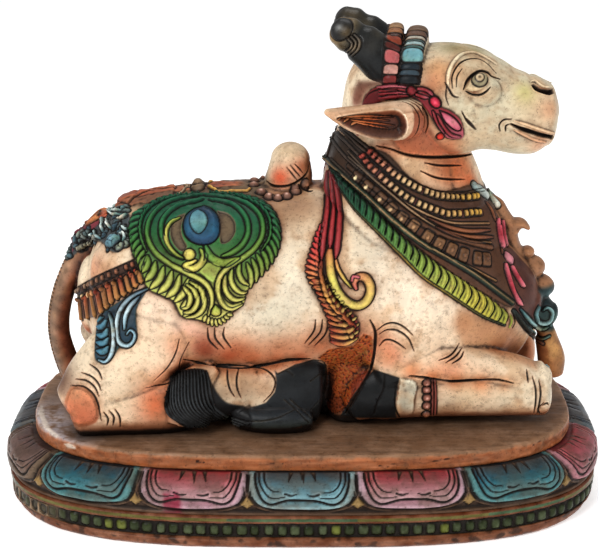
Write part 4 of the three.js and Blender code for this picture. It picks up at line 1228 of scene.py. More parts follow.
TAIL = [
    [-126, 0, 124, 12, 10, 10],
    [-142, 0, 108, 10, 8, 8],
    [-154, 0, 88, 8.5, 7, 7],
    [-162, 3, 65, 7.5, 7, 7],
    [-164.5, 8, 43, 7.5, 7, 7],
    [-161, 12, 22, 8, 7.5, 7.5],
    [-156, 14, 7, 9, 8, 8],
]
THROAT = [[84, 0, 192, 22, 12, 12], [90, 0, 176, 24, 15, 15], [97, 0, 158, 28, 17, 17], [103, 0, 138, 32, 18, 18]]
TUFT = [[-58, -56, 42, 8, 5, 5], [-68, -61, 34, 10, 12, 12], [-73, -63, 20, 10, 15, 15], [-75, -63, 8, 9, 15, 14]]
BELLY_SUPPORT = [[-122, 0, 24, 40, 24, 28], [0, 0, 26, 36, 24, 30], [118, 0, 28, 30, 24, 32]]
BREAST_SUPPORT = [[33, 0, -2, 46, 20, 18], [33, 0, 34, 47, 19, 18], [31, 0, 64, 50, 22, 18]]
HUMP = [[-9, 0, 148, 15, 16, 14], [-8, 0, 156, 15.5, 15.5, 14.5], [-7.5, 0, 166, 13.5, 13, 12.5]]
CORD_TOP = [[119, 0, 141, 7, 4, 4], [127, 0, 134, 9, 6, 6], [133, 0, 128, 8, 4, 4], [139, 0, 118, 9, 5, 5]]
CORD_LOW = [[136, 0, 120, 9, 5, 5], [139, 0, 108, 9, 5, 5], [146, 0, 92, 10, 6, 6], [152, 0, 76, 10, 6, 6]]
HOOK = [[137, 0, 122.5, 9, 3.5, 3.5], [144, 0, 123, 8, 3, 3], [149, 0, 119.5, 5, 1.4, 1.4]]
ROSETTE = [[144, 0, 66, 13, 13, 13], [158, -1, 62, 13, 13, 13], [166, -1, 60, 9, 8, 8]]
BELL = [[157, 0, 60, 6, 6, 6], [163, -2, 49, 7, 6, 6], [165, -1, 40, 8, 8, 8], [168, 0, 28, 9, 9.5, 9],
        [169, 0, 17, 8, 8, 8]]

HEAD = [
    [50, 0, 206, 23, 26, 24],
    [60, 0, 206, 30, 32, 32],
    [76, 0, 206, 33.5, 34.5, 36],
    [92, 0, 206, 34, 36, 37],
    [106, 0, 205, 31, 34.5, 34],
    [117, 0, 203, 27, 31, 30],
    [128, 0, 200, 24, 27.5, 26],
    [140, 0, 197.5, 22.5, 26, 25.5],
    [150, 0, 197.5, 21.5, 24, 24],
    [157, 0, 197.5, 18.5, 20, 19.5],
]
HORN = [
    [61, -17, 224, 13, 16, 17],
    [51, -19, 234, 12, 14, 15.5],
    [43, -20, 241, 11.2, 12.6, 13.6],
    [38, -20, 245, 11.2, 12.2, 12.8],
    [34.5, -20, 247.5, 9.6, 10.2, 10.6],
    [30, -20, 250, 10.4, 10.8, 11.2],
    [25, -19.5, 252.4, 8.6, 9, 9],
]
EAR = [
    [74, -31, 201, 8, 12, 12],
    [64, -38, 201, 8, 12, 12],
    [50, -45, 201, 8, 11, 11.5],
    [37, -49, 203, 7, 8, 9],
    [26, -51, 206, 5, 4.5, 5],
    [19, -52, 208, 3, 2, 2],
]
FAR_EAR_STATIONS = 4


def arch(rise):
    """How far a band stands off the head's axis, as a function of the angle from straight up."""
    return lambda angle: HOOP_RADIUS + rise * math.cos(math.radians(min(angle * 1.25, 90)))


# The bands over the head: X at their low ends and at the top, half width and arch.
HOOP_RADIUS = 35.0
BACK_HOOP = (56.5, 59.5, 5.2, arch(12.5))
FRONT_HOOP = (66.5, 73.5, 7.0, arch(10.5))
BACK_HOOP_THICKNESS = 16
FRONT_HOOP_THICKNESS = 18


def pair(stations, **how):
    """A form on the near side and its mirror image."""
    return [loft(stations, **how), loft(stations, mirror=True, **how)]


def body_parts():
    return [
        loft(TRUNK, sides=96, squareness=2.15, caps=(0.4, 0.4)),
        loft(NECK, sides=96, squareness=2.1, caps=(0, 0)),
        *pair(HAUNCH),
        *pair(SHOULDER),
        *pair(deeper(HIND_SHANK, 4), caps=(0, 0.5)),
        *pair(deeper(HIND_CANNON, 6), squareness=2.2, caps=(0.5, 0)),
        *pair(deeper(HIND_HOOF, 6), squareness=2.3, caps=(0, 0.4)),
        *pair(deeper(HIND_TOE, 3), caps=(0, 0.5)),
        *pair(FORE_ARM),
        *pair(deeper(FORE_CANNON, 7), squareness=2.3, caps=(0.5, 0)),
        *pair(deeper(FORE_HOOF, 5), squareness=2.2, caps=(0, 0.5)),
        loft(THROAT, sides=64, caps=(0.4, 0.4)),
        loft(TAIL, caps=(0, 0)),
        loft(TUFT, caps=(0.5, 0)),
        loft(BELLY_SUPPORT, squareness=5, caps=(0, 0)),
        loft(BREAST_SUPPORT, squareness=3, caps=(0, 0)),
        loft(HUMP, caps=(0, 0.9)),
        loft(CORD_TOP, caps=(0, 0.5)),
        loft(CORD_LOW, caps=(0.5, 0)),
        loft(HOOK, caps=(0, 0.5)),
        egg((149, 0, 103.5), (4.6, 8, 3.4)),
        egg((151, 0, 93), (10.3, 12, 7.8)),
        egg((156, 0, 79.5), (12, 13.5, 8.2)),
        loft(ROSETTE, caps=(0, 0.6)),
        loft(BELL, caps=(0.5, 0.3)),
    ]


def head_parts():
    return [
        loft(HEAD, sides=96, squareness=2.4, caps=(0.35, 0.35)),
        *pair(HORN, caps=(0, 0.7)),
        loft(EAR, caps=(0, 0.6)),
        loft(EAR[:FAR_EAR_STATIONS], caps=(0, 0.6), mirror=True),
        *[egg((113, y, 217), (13, 8, 10)) for y in (-24, 24)],
        egg((148, 0, 200), (16, 21.5, 20)),
        egg((140, 0, 184), (17, 18, 12)),
        hoop(*BACK_HOOP, BACK_HOOP_THICKNESS),
        hoop(*FRONT_HOOP, FRONT_HOOP_THICKNESS),
    ]


def in_place(points):
    return points + np.array([0, 0, SEAT_TOP])


def turned(points, degrees):
    """Turns points about the upright axis of the neck."""
    c, s = math.cos(math.radians(degrees)), math.sin(math.radians(degrees))
    x, y = points[:, 0] - NECK_AXIS_X, points[:, 1]
    return np.stack([NECK_AXIS_X + x * c - y * s, x * s + y * c, points[:, 2]], axis=1)


def flip_body(points):
    return points * np.array([1, -1, 1])


def flip_head(points):
    return turned(flip_body(turned(points, -HEAD_TURN_DEG)), HEAD_TURN_DEG)


# Colours, as seen on a screen, from 0 to 255.
CREAM = (232, 212, 182)
FACE_CREAM = (206, 194, 166)
BURNT = (152, 66, 34)
UMBER = (84, 52, 34)
INK = (24, 19, 17)
BLACK_PAINT = (20, 21, 22)
GREY_CREAM = (196, 188, 166)
PALE_GOLD = (232, 208, 160)
DEEP_GREEN = (22, 66, 48)
LEAF_GREEN = (56, 108, 54)
LIME = (124, 144, 58)
LEMON = (196, 186, 90)
ROSE = (196, 96, 108)
TEAL = (78, 118, 128)
PALE_TEAL = (176, 204, 202)


MEDALLION_LEVELS = [192, 215, 240, 262, 285, 318]
MEDALLION_COLOURS = [DEEP_GREEN, (28, 84, 56), (48, 98, 48), (96, 122, 50), (176, 174, 88), (190, 180, 98)]


def toned(pixels):
    """The medallion's colours along a line of pixels."""
    heights = np.asarray(pixels, float)[:, 1]
    share = np.interp(heights, MEDALLION_LEVELS, np.linspace(0, 1, len(MEDALLION_LEVELS)))
    return ramp(MEDALLION_COLOURS, share)


def medallion_tone(root, tip):
    """A feather's colours, by how far down its two ends lie."""
    return toned(np.linspace(root, tip, 4))


def paint_flesh(skin):
    """The soft airbrushed ground: cream on what stands out, orange and pink in what lies back, and a painted cast
    shadow on the belly.
    """
    for pixel, radius, colour, strength in FLESH_SPRAYS_PX:
        skin.spray(pixel, radius, colour, strength)


def carve_medallion(skin):
    outline = PLACES_PX["medallion"][0]
    skin.region(outline, 1.5, MEDALLION_COLOURS, soft=0.7, bevel=2.2)
    how = dict(rim=0.7, rim_colour=(16, 30, 22), shade=0.35)
    for side, bend in (("left", 0.10), ("right", -0.10)):
        roots, tips = PLACES_PX[f"{side}_fan_inner"][0], PLACES_PX[f"{side}_fan_outer"][0]
        skin.fan(roots, tips, 19, 3.2, 1.2, medallion_tone, bend=bend, **how)
    skin.fan(PLACES_PX["left_lobe_inner"][0], PLACES_PX["left_lobe_outer"][0], 8, 4.2, 1.5, medallion_tone,
             bend=-0.12, **how)
    for name in ("left_lobe_arcs", "right_lobe_arcs"):
        for pixels in PLACES_PX[name]:
            skin.stroke(skin.cast(pixels), 3.2, 1.5, toned(pixels), ends=(0.25, 0.3), **how)
    skin.fan(PLACES_PX["drop_ticks_inner"][0], PLACES_PX["drop_ticks_outer"][0], 8, 2.4, 1.0, medallion_tone, **how)
    for name, width in (("rim_ring", 1.6), ("outer_ring", 3.2), ("inner_ring", 3.4)):
        for pixels in PLACES_PX[name]:
            skin.stroke(skin.cast(pixels), width, 1.7, toned(pixels), ends=(0.08, 0.12), **how)
    for name in ("left_well", "right_well"):
        skin.region(PLACES_PX[name][0], -0.8, [(108, 90, 68), (96, 80, 60)], soft=0.5)
    skin.lines("yellow_crescent", 2.4, 1.2, [LIME, LEMON, LIME], ends=(0.3, 0.3), **how)
    skin.lines("curl", 4.4, 1.4, [LEMON, LEMON, LIME], ends=(0.3, 0.2), **how)
    skin.lines("right_scroll", 5.0, 1.2, [LEAF_GREEN, LIME, LIME], ends=(0.2, 0.3), **how)
    skin.lines("stem", 0.9, -0.8, [INK])
    skin.bead_under(SPOTS_PX["curl_ball"], (1, 0, 0), (7.0, 7.0), 1.8, LEMON, rim=0.8)
    skin.region(PLACES_PX["stem_leaf"][0], 0.8, [LIME, (150, 168, 84)], soft=0.5)
    bud = PLACES_PX["bud"][0]
    skin.stroke(skin.cast([*bud, bud[0]]), 1.2, -1.0, [INK])
    skin.region(bud, 3.2, [(30, 42, 54), (34, 60, 82), (38, 78, 104), (30, 52, 78)], soft=0.5, bevel=6)
    heart = PLACES_PX["bud_heart"][0]
    skin.region(heart, 0.9, [(54, 98, 112), (98, 142, 150), (52, 98, 112)], soft=0.5, bevel=3)
    skin.stroke(skin.cast([*heart, heart[0]]), 0.7, -0.5, [(26, 44, 56)])
    drop = PLACES_PX["drop"][0]
    skin.region(drop, 1.8, [LIME, LEMON], soft=0.4, bevel=3)
    skin.stroke(skin.cast([*drop, drop[0]]), 0.9, -0.8, [INK])


def carve_back(skin):
    """The cloths along the spine, the hump and its string of beads."""
    x, y = skin.points[:, 0], np.abs(skin.points[:, 1])
    up = skin.points[:, 2] - SEAT_TOP
    cover = smoothstep(136, 141, up + 0.5 * noise(skin.points, 6)) * smoothstep(-122, -116, x)
    cover = cover * smoothstep(-20, -26, x) * smoothstep(34, 28, y)
    skin.paint(slice(None), ramp([(104, 84, 62), (78, 60, 46)], y / 30), cover)
    skin.height += 0.5 * cover * noise(skin.points, 3.2)
    top, low = PLACES_PX["spine_strip"]
    skin.region([*top, *low[::-1]], 1.4, [(140, 82, 56), (122, 78, 56), (98, 72, 54)], soft=1.0, by="u", tight=True)
    ridge = smoothstep(7, 5.5, y) * smoothstep(-36, -44, x) * smoothstep(108, 114, up)
    skin.height += 0.7 * ridge
    skin.paint(slice(None), ramp([(158, 92, 60), (132, 66, 48)], 0.5 + 0.5 * noise(skin.points, 14)), ridge)
    skin.stroke(skin.cast(low), 1.3, -0.8, [UMBER])
    skin.lines("spine_rim", 1.6, 1.0, [(150, 128, 104)], rim=0.5)
    skin.lines("gold_line", 2.2, 1.4, [(196, 150, 76)], rim=0.6)
    skin.bead_under(SPOTS_PX["spine_knob"], (1, 0, 0), (9, 14), 2.6, (122, 100, 78), rim=0.8)
    skin.lines("hump_base", 1.8, -1.6, [UMBER, INK, UMBER], ends=(0.15, 0.15))
    skin.lines("hump_creases", 1.0, -0.9, [BURNT, INK, BURNT], ends=(0.4, 0.4))
    for pixels in PLACES_PX["hump_beads"]:
        for spot, nearby in zip(pixels, [*pixels[1:], pixels[-2]]):
            places = skin.cast([spot, nearby])
            if len(places) > 1:
                skin.bead(places[0], places[1] - places[0], (6.4, 6.4), 2.4, (124, 88, 74), rim=0.9, glint=0.35)


def carve_far_spine(skin):
    """The top of the back beyond the spine, which the camera sees: plain dark stipple."""
    x, y = skin.points[:, 0], skin.points[:, 1]
    up = skin.points[:, 2] - SEAT_TOP
    cover = smoothstep(6, 8, y) * smoothstep(45, 39, y) * smoothstep(124, 130, up) * smoothstep(-26, -30, x)
    skin.height *= 1 - cover
    skin.height += 0.4 * cover * noise(skin.points, 3)
    skin.paint(slice(None), ramp([(104, 78, 54), (84, 62, 46)], y / 34), cover)


def carve_tail(skin):
    """The tail: tan on its outside, dark towards the legs, with a row of notches down its back."""
    path = in_place(np.array([row[:3] for row in TAIL]))
    which, share, out = skin.near_axis(curve(path, lambda length: 12), 12.5)
    keep = skin.points[which, 0] < -136
    which, share, out = which[keep], share[keep], out[keep]
    back = -out[:, 0]
    tone = ramp([(84, 44, 32), (124, 70, 50), (160, 122, 96), (134, 108, 84)], (back + 1) / 2)
    tone = tone * (0.9 + 0.25 * noise(skin.points[which], 5)[:, None])
    skin.paint(which, tone, np.full(len(which), 1.0))
    run = share * 165
    notch = np.abs((run / 3.3) % 1 - 0.5) * 2
    edge = smoothstep(0.78, 0.92, back)
    skin.height[which] += edge * (0.8 - 1.5 * smoothstep(0.5, 0.9, notch))
    dark = edge * smoothstep(0.55, 0.9, notch) * 0.7
    skin.paint(which, np.array((46, 30, 22)), dark)


def carve_rump(skin):
    skin.region(PLACES_PX["rump_dark"][0], 0.8, [(66, 74, 76), (52, 54, 56)], soft=0.7)
    skin.region(PLACES_PX["maroon_patch"][0], 0.9, [(112, 48, 54), (96, 40, 50)], soft=0.5)
    skin.lines("tail_cloth", 5.0, 1.4, [(150, 88, 58), (190, 118, 66), (176, 84, 62)], rim=0.6)
    skin.lines("tail_edge", 2.6, 1.4, [(140, 100, 60), (204, 160, 92), (150, 80, 52)], rim=0.5)
    scatter(skin, "rump_dark", 60, (2.6, 4.8), 0.9,
            [(70, 94, 104), (98, 116, 116), (52, 76, 88), (128, 138, 130)], 4)
    skin.lines("rump_white", 2.0, 1.5, [PALE_TEAL, (214, 222, 214), TEAL], rim=0.7, ends=(0.3, 0.3))
    skin.bead_under(SPOTS_PX["rump_ball"], (1, 0, 0.4), (11, 9), 2.6, (92, 128, 142), rim=0.9, glint=0.1)
    skin.row("rump_beads", 12, (3.0, 3.0), 1.3, [(150, 150, 138)], rim=0.6)
    skin.region([*PLACES_PX["garland_top"][0], *PLACES_PX["garland_hem"][0][::-1]], 0.4, [(70, 40, 30)], soft=0.5,
                tight=True)
    skin.lines("garland_top", 5.2, 0.6, [(58, 38, 30)], rim=0.6)
    skin.row("garland_top", 13, (2.6, 3.6), 1.5, [(136, 112, 92), (118, 84, 62), (120, 70, 50)], rim=0.5,
             squareness=3.0, glint=0.06)
    skin.row("garland_low", 12, (2.6, 4.2), 1.6, [PALE_GOLD, (196, 110, 60), (160, 60, 40)], rim=0.5)
    top = PLACES_PX["garland_low"][0]
    hem = PLACES_PX["garland_hem"][0]
    tassels = cycle([(112, 72, 46), (126, 58, 38), (128, 82, 46), (112, 44, 32)])
    skin.fan(top, hem, 11, 4.6, 1.6, lambda root, tip: [next(tassels), (156, 106, 58)], ends=(0.05, 0.1), rim=0.8)
    skin.region(PLACES_PX["feather_dark"][0], 0.5, [(40, 52, 62), (34, 58, 72)], soft=0.6)
    skin.lines("feather_blue", 4.2, 1.5, [(84, 124, 138), (52, 96, 118)], rim=0.9, ends=(0.3, 0.3))
    skin.lines("feather_white", 2.8, 1.6, [(70, 92, 108), (176, 194, 198), (120, 156, 172)], rim=0.8, ends=(0.2, 0.3))


def carve_neck(skin):
    skin.region(PLACES_PX["neck_area"][0], 1.0, [(38, 31, 26), (78, 49, 34), (78, 50, 34)], soft=0.8)
    skin.lines("jaw_shadow", 2.0, -2.4, [(112, 54, 34), (44, 22, 15), (36, 19, 13), (84, 40, 26)], ends=(0.4, 0.35))
    skin.lines("nape_strings", 1.8, 1.2, [(40, 36, 34), (78, 62, 52)], rim=0.5)
    skin.lines("fine_line", 1.5, 1.1, [(72, 60, 50), (150, 118, 88), (110, 78, 50)], rim=0.6)
    skin.lines("band_brown", 3.6, 1.2, [(50, 36, 28), (92, 58, 38)], rim=0.6)
    skin.row("pendant_line", 12, (6.6, 8.6), 1.4, [(70, 50, 38), (116, 82, 54), (96, 64, 42)], rim=0.9,
             squareness=5.0, shade=0.15)
    skin.row("pendant_line", 12, (2.4, 3.4), 1.0, [PALE_GOLD, (150, 110, 76), (92, 60, 42)], rim=0.0,
             squareness=2.0)
    for name, count in (("necklace_1", 22), ("necklace_2", 23)):
        skin.lines(name, 5.4, 0.5, [(64, 30, 30), (86, 44, 34)], rim=0.5)
        tones = [(146, 62, 52), (206, 178, 134), (184, 146, 98), (186, 142, 56)]
        skin.row(name, count, (2.7, 4.2), 1.7, tones, rim=0.5, squareness=4.0, shade=0.4)
    for pixels in COLLAR_FOLDS_PX:
        tones = [(70, 42, 32), (128, 78, 50), (88, 50, 36)]
        skin.stroke(skin.cast(pixels), 2.6, 0.9, tones, ends=(0.3, 0.2), rim=0.8, rim_colour=(34, 20, 15))
    skin.lines("green_band", 3.6, 1.2, [(30, 40, 34), (44, 58, 44), (30, 46, 38)], rim=0.7)
    skin.lines("green_band", 1.1, 0.8, [(112, 88, 62), (156, 124, 88), (92, 76, 52)])
    top, low = PLACES_PX["collar_top"][0], PLACES_PX["collar_low"][0]
    greens = [
        (18, 44, 36), (30, 70, 46), (74, 112, 54), (122, 144, 62), (156, 160, 66), (172, 158, 60), (128, 134, 52),
    ]
    skin.region([*top, *low[::-1]], 1.7, greens, soft=0.5, bevel=2.0, by="u", tight=True)

    def leaf_tone(root, tip):
        share = (root[0] - top[0][0]) / (top[-1][0] - top[0][0])
        body = ramp(greens, np.array([share]))[0]
        return [body * 0.75, body, np.minimum(body * 1.1, 255)]

    skin.fan(shifted(top, 1, 1), shifted(low, 4, 2), 26, 2.5, 1.0, leaf_tone, bend=-0.16, ends=(0.3, 0.3))
    skin.fan(shifted(top, 4.4, 2), shifted(low, 7.4, 3), 26, 1.35, -1.5, lambda a, b: [(12, 26, 22)], bend=-0.2,
             ends=(0.5, 0.1))
    skin.stroke(skin.cast(low), 1.1, 0.7, [(24, 40, 36), (150, 120, 40), (40, 50, 40)], rim=0.6,
                rim_colour=(16, 24, 24))
    skin.lines("throat_creases", 1.5, -1.4, [BURNT, INK, BURNT], ends=(0.3, 0.25))


def shifted(pixels, right, down):
    return [(u + right, v + down) for u, v in pixels]


COLLAR_FOLDS_PX = [
    [(428, 218), (448, 227), (468, 231), (489, 230)],
    [(436, 227), (454, 234), (472, 237), (492, 237)],
    [(484, 202), (490, 210), (494, 221)],
    [(497, 226), (500, 240), (501, 254)],
]
SASH_TOP_PX = 225
SASH_LENGTH_PX = 90
LEAF_LEFT_PX = [(312, 280), (318, 296), (326, 314), (330, 330), (331, 341), (340, 347)]
LEAF_RIGHT_PX = [(326, 279), (336, 292), (348, 308), (358, 322), (357, 338), (343, 347)]


def carve_sash(skin):
    how = dict(rim=0.8, rim_colour=(52, 18, 16), shade=0.3)
    spine = PLACES_PX["sash_leaf_spine"][0] + PLACES_PX["leaf_spine_low"][0][1:]
    left = PLACES_PX["sash_left_edge"][0]
    reds = [(176, 44, 52), (196, 70, 62), (214, 150, 88), (224, 196, 110)]

    def feather_tone(root, tip):
        down = np.array([root[1], tip[1]]) - SASH_TOP_PX
        return ramp(reds, np.clip(down / SASH_LENGTH_PX, 0, 1))

    skin.region([*left, *spine[::-1]], 0.9, [(96, 24, 26), (86, 34, 22)], soft=0.5, tight=True)
    skin.fan(spine, left, 19, 2.9, 1.4, feather_tone, bend=0.15, ends=(0.1, 0.3), rim=0.6, rim_colour=(64, 18, 16))
    skin.region([*LEAF_LEFT_PX, *LEAF_RIGHT_PX[::-1]], 1.0, [(110, 34, 28), (92, 32, 24)], soft=0.5)
    bands = cycle([[(150, 62, 44), (196, 166, 88)], [(166, 86, 54), (200, 180, 96)]])
    skin.fan(LEAF_LEFT_PX[:-1], LEAF_RIGHT_PX[:-1], 11, 3.0, 1.5, lambda root, tip: next(bands), bend=0.14,
             ends=(0.2, 0.35), rim=0.6, rim_colour=(56, 18, 14))
    skin.lines("sash_scroll_outer", 2.6, 1.5, [(110, 40, 34), (214, 160, 84), (150, 56, 40)], ends=(0.1, 0.3), **how)
    skin.lines("sash_scroll", 5.6, 2.0, [(170, 96, 60), LEMON, LEMON, (200, 164, 88), (180, 92, 82)],
               ends=(0.06, 0.15), **how)
    skin.lines("sash_scroll_inner", 2.2, 1.4, [(200, 130, 80), LEMON], ends=(0.2, 0.4), **how)
    skin.lines("sash_red", 4.0, 2.0, [(96, 30, 32), (136, 42, 44), (150, 56, 58)], ends=(0.15, 0.1), **how)
    skin.lines("sash_tip", 1.6, 1.0, [ROSE], rim=0.5)


def carve_chest(skin):
    x, up = skin.points[:, 0], skin.points[:, 2] - SEAT_TOP
    front = x + 0.62 * (up - 100)
    cover = smoothstep(118, 124, front) * smoothstep(52, 58, up) * smoothstep(150, 142, up)
    knob = smoothstep(136, 140, front) * (np.abs(skin.points[:, 1]) < 13)
    tone = ramp([(64, 34, 30), (96, 58, 44)], 0.5 + 0.5 * noise(skin.points, 8))
    tone = over(tone, (148, 104, 74), knob)
    skin.paint(slice(None), tone, cover)
    middle = smoothstep(18, 15, np.abs(skin.points[:, 1]))
    low = smoothstep(148, 152, x) * smoothstep(62, 58, up) * middle
    skin.paint(slice(None), ramp([(112, 70, 42), (196, 144, 86)], 0.5 + 0.6 * noise(skin.points, 6)), low)
    disc = smoothstep(139, 143, x) * smoothstep(84, 80, up) * smoothstep(48, 52, up) * middle
    skin.paint(slice(None), ramp([(22, 30, 32), (52, 82, 84)], 0.5 + 0.6 * noise(skin.points, 5)), disc)


def carve_ribbon(skin):
    skin.lines("chest_links", 6.0, 1.6, [(132, 150, 148), (196, 204, 196)], rim=0.9)
    skin.lines("chest_ribbon", 3.8, 1.8, [(188, 92, 102), (150, 44, 54), (196, 112, 122)], rim=0.8, ends=(0.1, 0.1))
    skin.bead_under(SPOTS_PX["chest_knot"], (1, -0.4, 0.3), (9, 7), 1.8, (206, 128, 138), rim=0.9, squareness=4.0)
    skin.lines("chest_spiral", 2.8, 2.0, [(64, 96, 100), (140, 172, 170), (96, 128, 128)], rim=0.9, ends=(0.2, 0.2))
    skin.lines("chest_rim", 2.4, 1.0, [(40, 48, 46), (84, 60, 48)], rim=0.6)


TUFT_PX = [(169, 376), (184, 370), (205, 370), (214, 388), (226, 402), (246, 408), (250, 428), (214, 432), (182, 426),
           (171, 405)]
TUFT_ROOTS_PX = [(170, 392), (171, 380), (180, 373), (192, 369), (206, 371)]
TUFT_TIPS_PX = [(178, 422), (192, 428), (212, 430), (232, 428), (249, 424)]


def carve_legs(skin):
    skin.region(PLACES_PX["breast_stipple"][0], -0.5, [(170, 76, 34), (150, 58, 24)], soft=1.2, tight=True)
    which, _, cover = skin.inside(PLACES_PX["breast_stipple"][0], 0, 1.2)
    pits = 0.5 * noise(skin.points[which], 1.4) + 0.7 * noise(skin.points[which] + 300, 0.9)
    skin.height[which] += 0.5 * cover * pits
    skin.paint(which, np.array((104, 40, 18)), 0.55 * cover * smoothstep(0.0, 0.5, -pits))
    skin.region([(350, 384), (364, 370), (374, 378), (354, 400)], 0, [(112, 46, 28)], soft=0.8)
    skin.region([(298, 396), (323, 390), (326, 428), (304, 430)], 0, [BLACK_PAINT], soft=0.8)
    skin.region(PLACES_PX["chest_stipple"][0], -0.2, [(186, 136, 94), (176, 112, 74)], soft=5, tight=True, blend=0.7)
    skin.region(PLACES_PX["fore_hoof"][0], 0.3, [BLACK_PAINT], soft=0.7, tight=True)
    skin.region(PLACES_PX["fetlock"][0], 0.9, [GREY_CREAM, (176, 166, 144)], soft=0.7, bevel=3)
    skin.lines("fore_hoof_lines", 1.2, -0.8, [(14, 13, 13)], rim=0)
    skin.region(PLACES_PX["hind_hoof"][0], 0.3, [BLACK_PAINT, (40, 44, 48)], soft=0.7, tight=True)
    skin.lines("hind_hoof_lines", 0.9, -0.7, [(92, 84, 72), (60, 56, 50)])
    skin.region(TUFT_PX, 0.4, [(20, 20, 21)], soft=1.0)
    skin.fan(TUFT_ROOTS_PX, TUFT_TIPS_PX, 18, 1.8, 1.2, lambda a, b: [(26, 27, 28), (46, 49, 51), (30, 30, 30)],
             bend=0.24, ends=(0.2, 0.3), rim=0.5, rim_colour=(6, 6, 7))
    skin.region(PLACES_PX["hock_ball"][0], 0.8, [(200, 126, 88), (172, 80, 48)], soft=1.2, bevel=6, blend=0.85)
    skin.lines("body_creases", 1.25, -1.1, [BURNT, INK, INK, BURNT], ends=(0.3, 0.3))
    skin.lines("deep_creases", 2.2, -1.8, [UMBER, INK, UMBER], ends=(0.15, 0.2))
    skin.lines("anklet_ridges", 1.4, 1.1, [(120, 60, 50)], rim=0.5)
    for spot in PLACES_PX["anklet_beads"][0]:
        skin.bead_under(spot, (0, 0, 1), (5.2, 5.2), 2.0, (134, 84, 70), rim=0.9, glint=0.3)


def upright(points):
    """Points of the head in the place that it has before it is turned, with heights above the seat."""
    return turned(points, -HEAD_TURN_DEG) - np.array([0, 0, SEAT_TOP])


def paint_hoop(head, x_low, x_top, half_width, arch, blocks):
    """Colours and raises the blocks of one band over the head. A block is [end angle, colour, rise]."""
    p = upright(head.points)
    y, z = p[:, 1], p[:, 2] - HEAD_AXIS_HEIGHT
    angle = np.degrees(np.abs(np.arctan2(y, z)))
    out = np.hypot(y, z)
    middle = x_top + (x_low - x_top) * angle / HOOP_REACH_DEG
    across = np.abs(p[:, 0] - middle)
    on = (across < half_width + 0.8) & (out > np.vectorize(arch)(angle) - 4.5) & (angle < 64)
    low = 0.0
    for end, colour, rise in blocks:
        inside = on & (angle >= low) & (angle < end)
        along = np.abs(2 * (angle - low) / (end - low) - 1)
        round_ = (along**3 + np.clip(across / half_width, 0, 1) ** 3) ** (1 / 3)
        which = np.flatnonzero(inside)
        head.height[which] += rise * np.sqrt(np.clip(1 - round_[which] ** 2, 0, 1)) - 0.3
        tone = over(np.array(colour), (28, 20, 18), smoothstep(0.78, 0.98, round_[which]))
        head.paint(which, tone, np.ones(len(which)))
        low = end


BACK_BLOCKS = [
    (9, (138, 104, 72), 1.4), (17, (126, 84, 56), 1.4), (21, (60, 36, 28), 0.4), (31, (128, 56, 38), 1.6),
    (37, (78, 34, 30), 0.8), (47, (168, 84, 84), 2.0), (56, (176, 128, 116), 1.8), (64, (104, 38, 36), 1.2),
]
FRONT_BLOCKS = [
    (9, (92, 70, 52), 1.8), (17, (84, 62, 50), 1.6), (21, (150, 146, 134), 1.0), (24, (60, 76, 80), 0.6),
    (28, (134, 156, 156), 1.0), (31, (60, 92, 100), 0.6), (45, (102, 150, 158), 2.2), (51, (28, 36, 42), 0.8),
    (56, (44, 56, 64), 1.4), (64, (24, 27, 30), 1.2),
]


STRAP_PX = [(362, 105), (366, 95), (374, 88), (386, 84), (404, 84), (420, 88), (430, 96), (416, 96), (402, 98),
            (388, 100), (374, 104)]
JAW_PX = [(382, 118), (408, 112), (424, 112), (430, 130), (444, 146), (462, 152), (444, 157), (420, 157), (398, 150)]


def carve_cheek(skin):
    """What lies behind the face: reddish brown wood from ear to jaw, and the strap over the ear."""
    skin.region(JAW_PX, 0.6, [(118, 62, 42), (150, 80, 54), (158, 82, 50)], soft=3.5, bevel=4, blend=0.92)
    skin.region(PLACES_PX["nape_red"][0], 0.2, [(88, 50, 38), (104, 50, 38)], soft=4, blend=0.85)
    skin.region(STRAP_PX, 1.2, [(128, 46, 42), (98, 28, 30), (84, 26, 28)], soft=0.5, bevel=2)
    skin.lines("strap_lines", 1.0, -0.8, [(50, 14, 16)], ends=(0.2, 0.2))


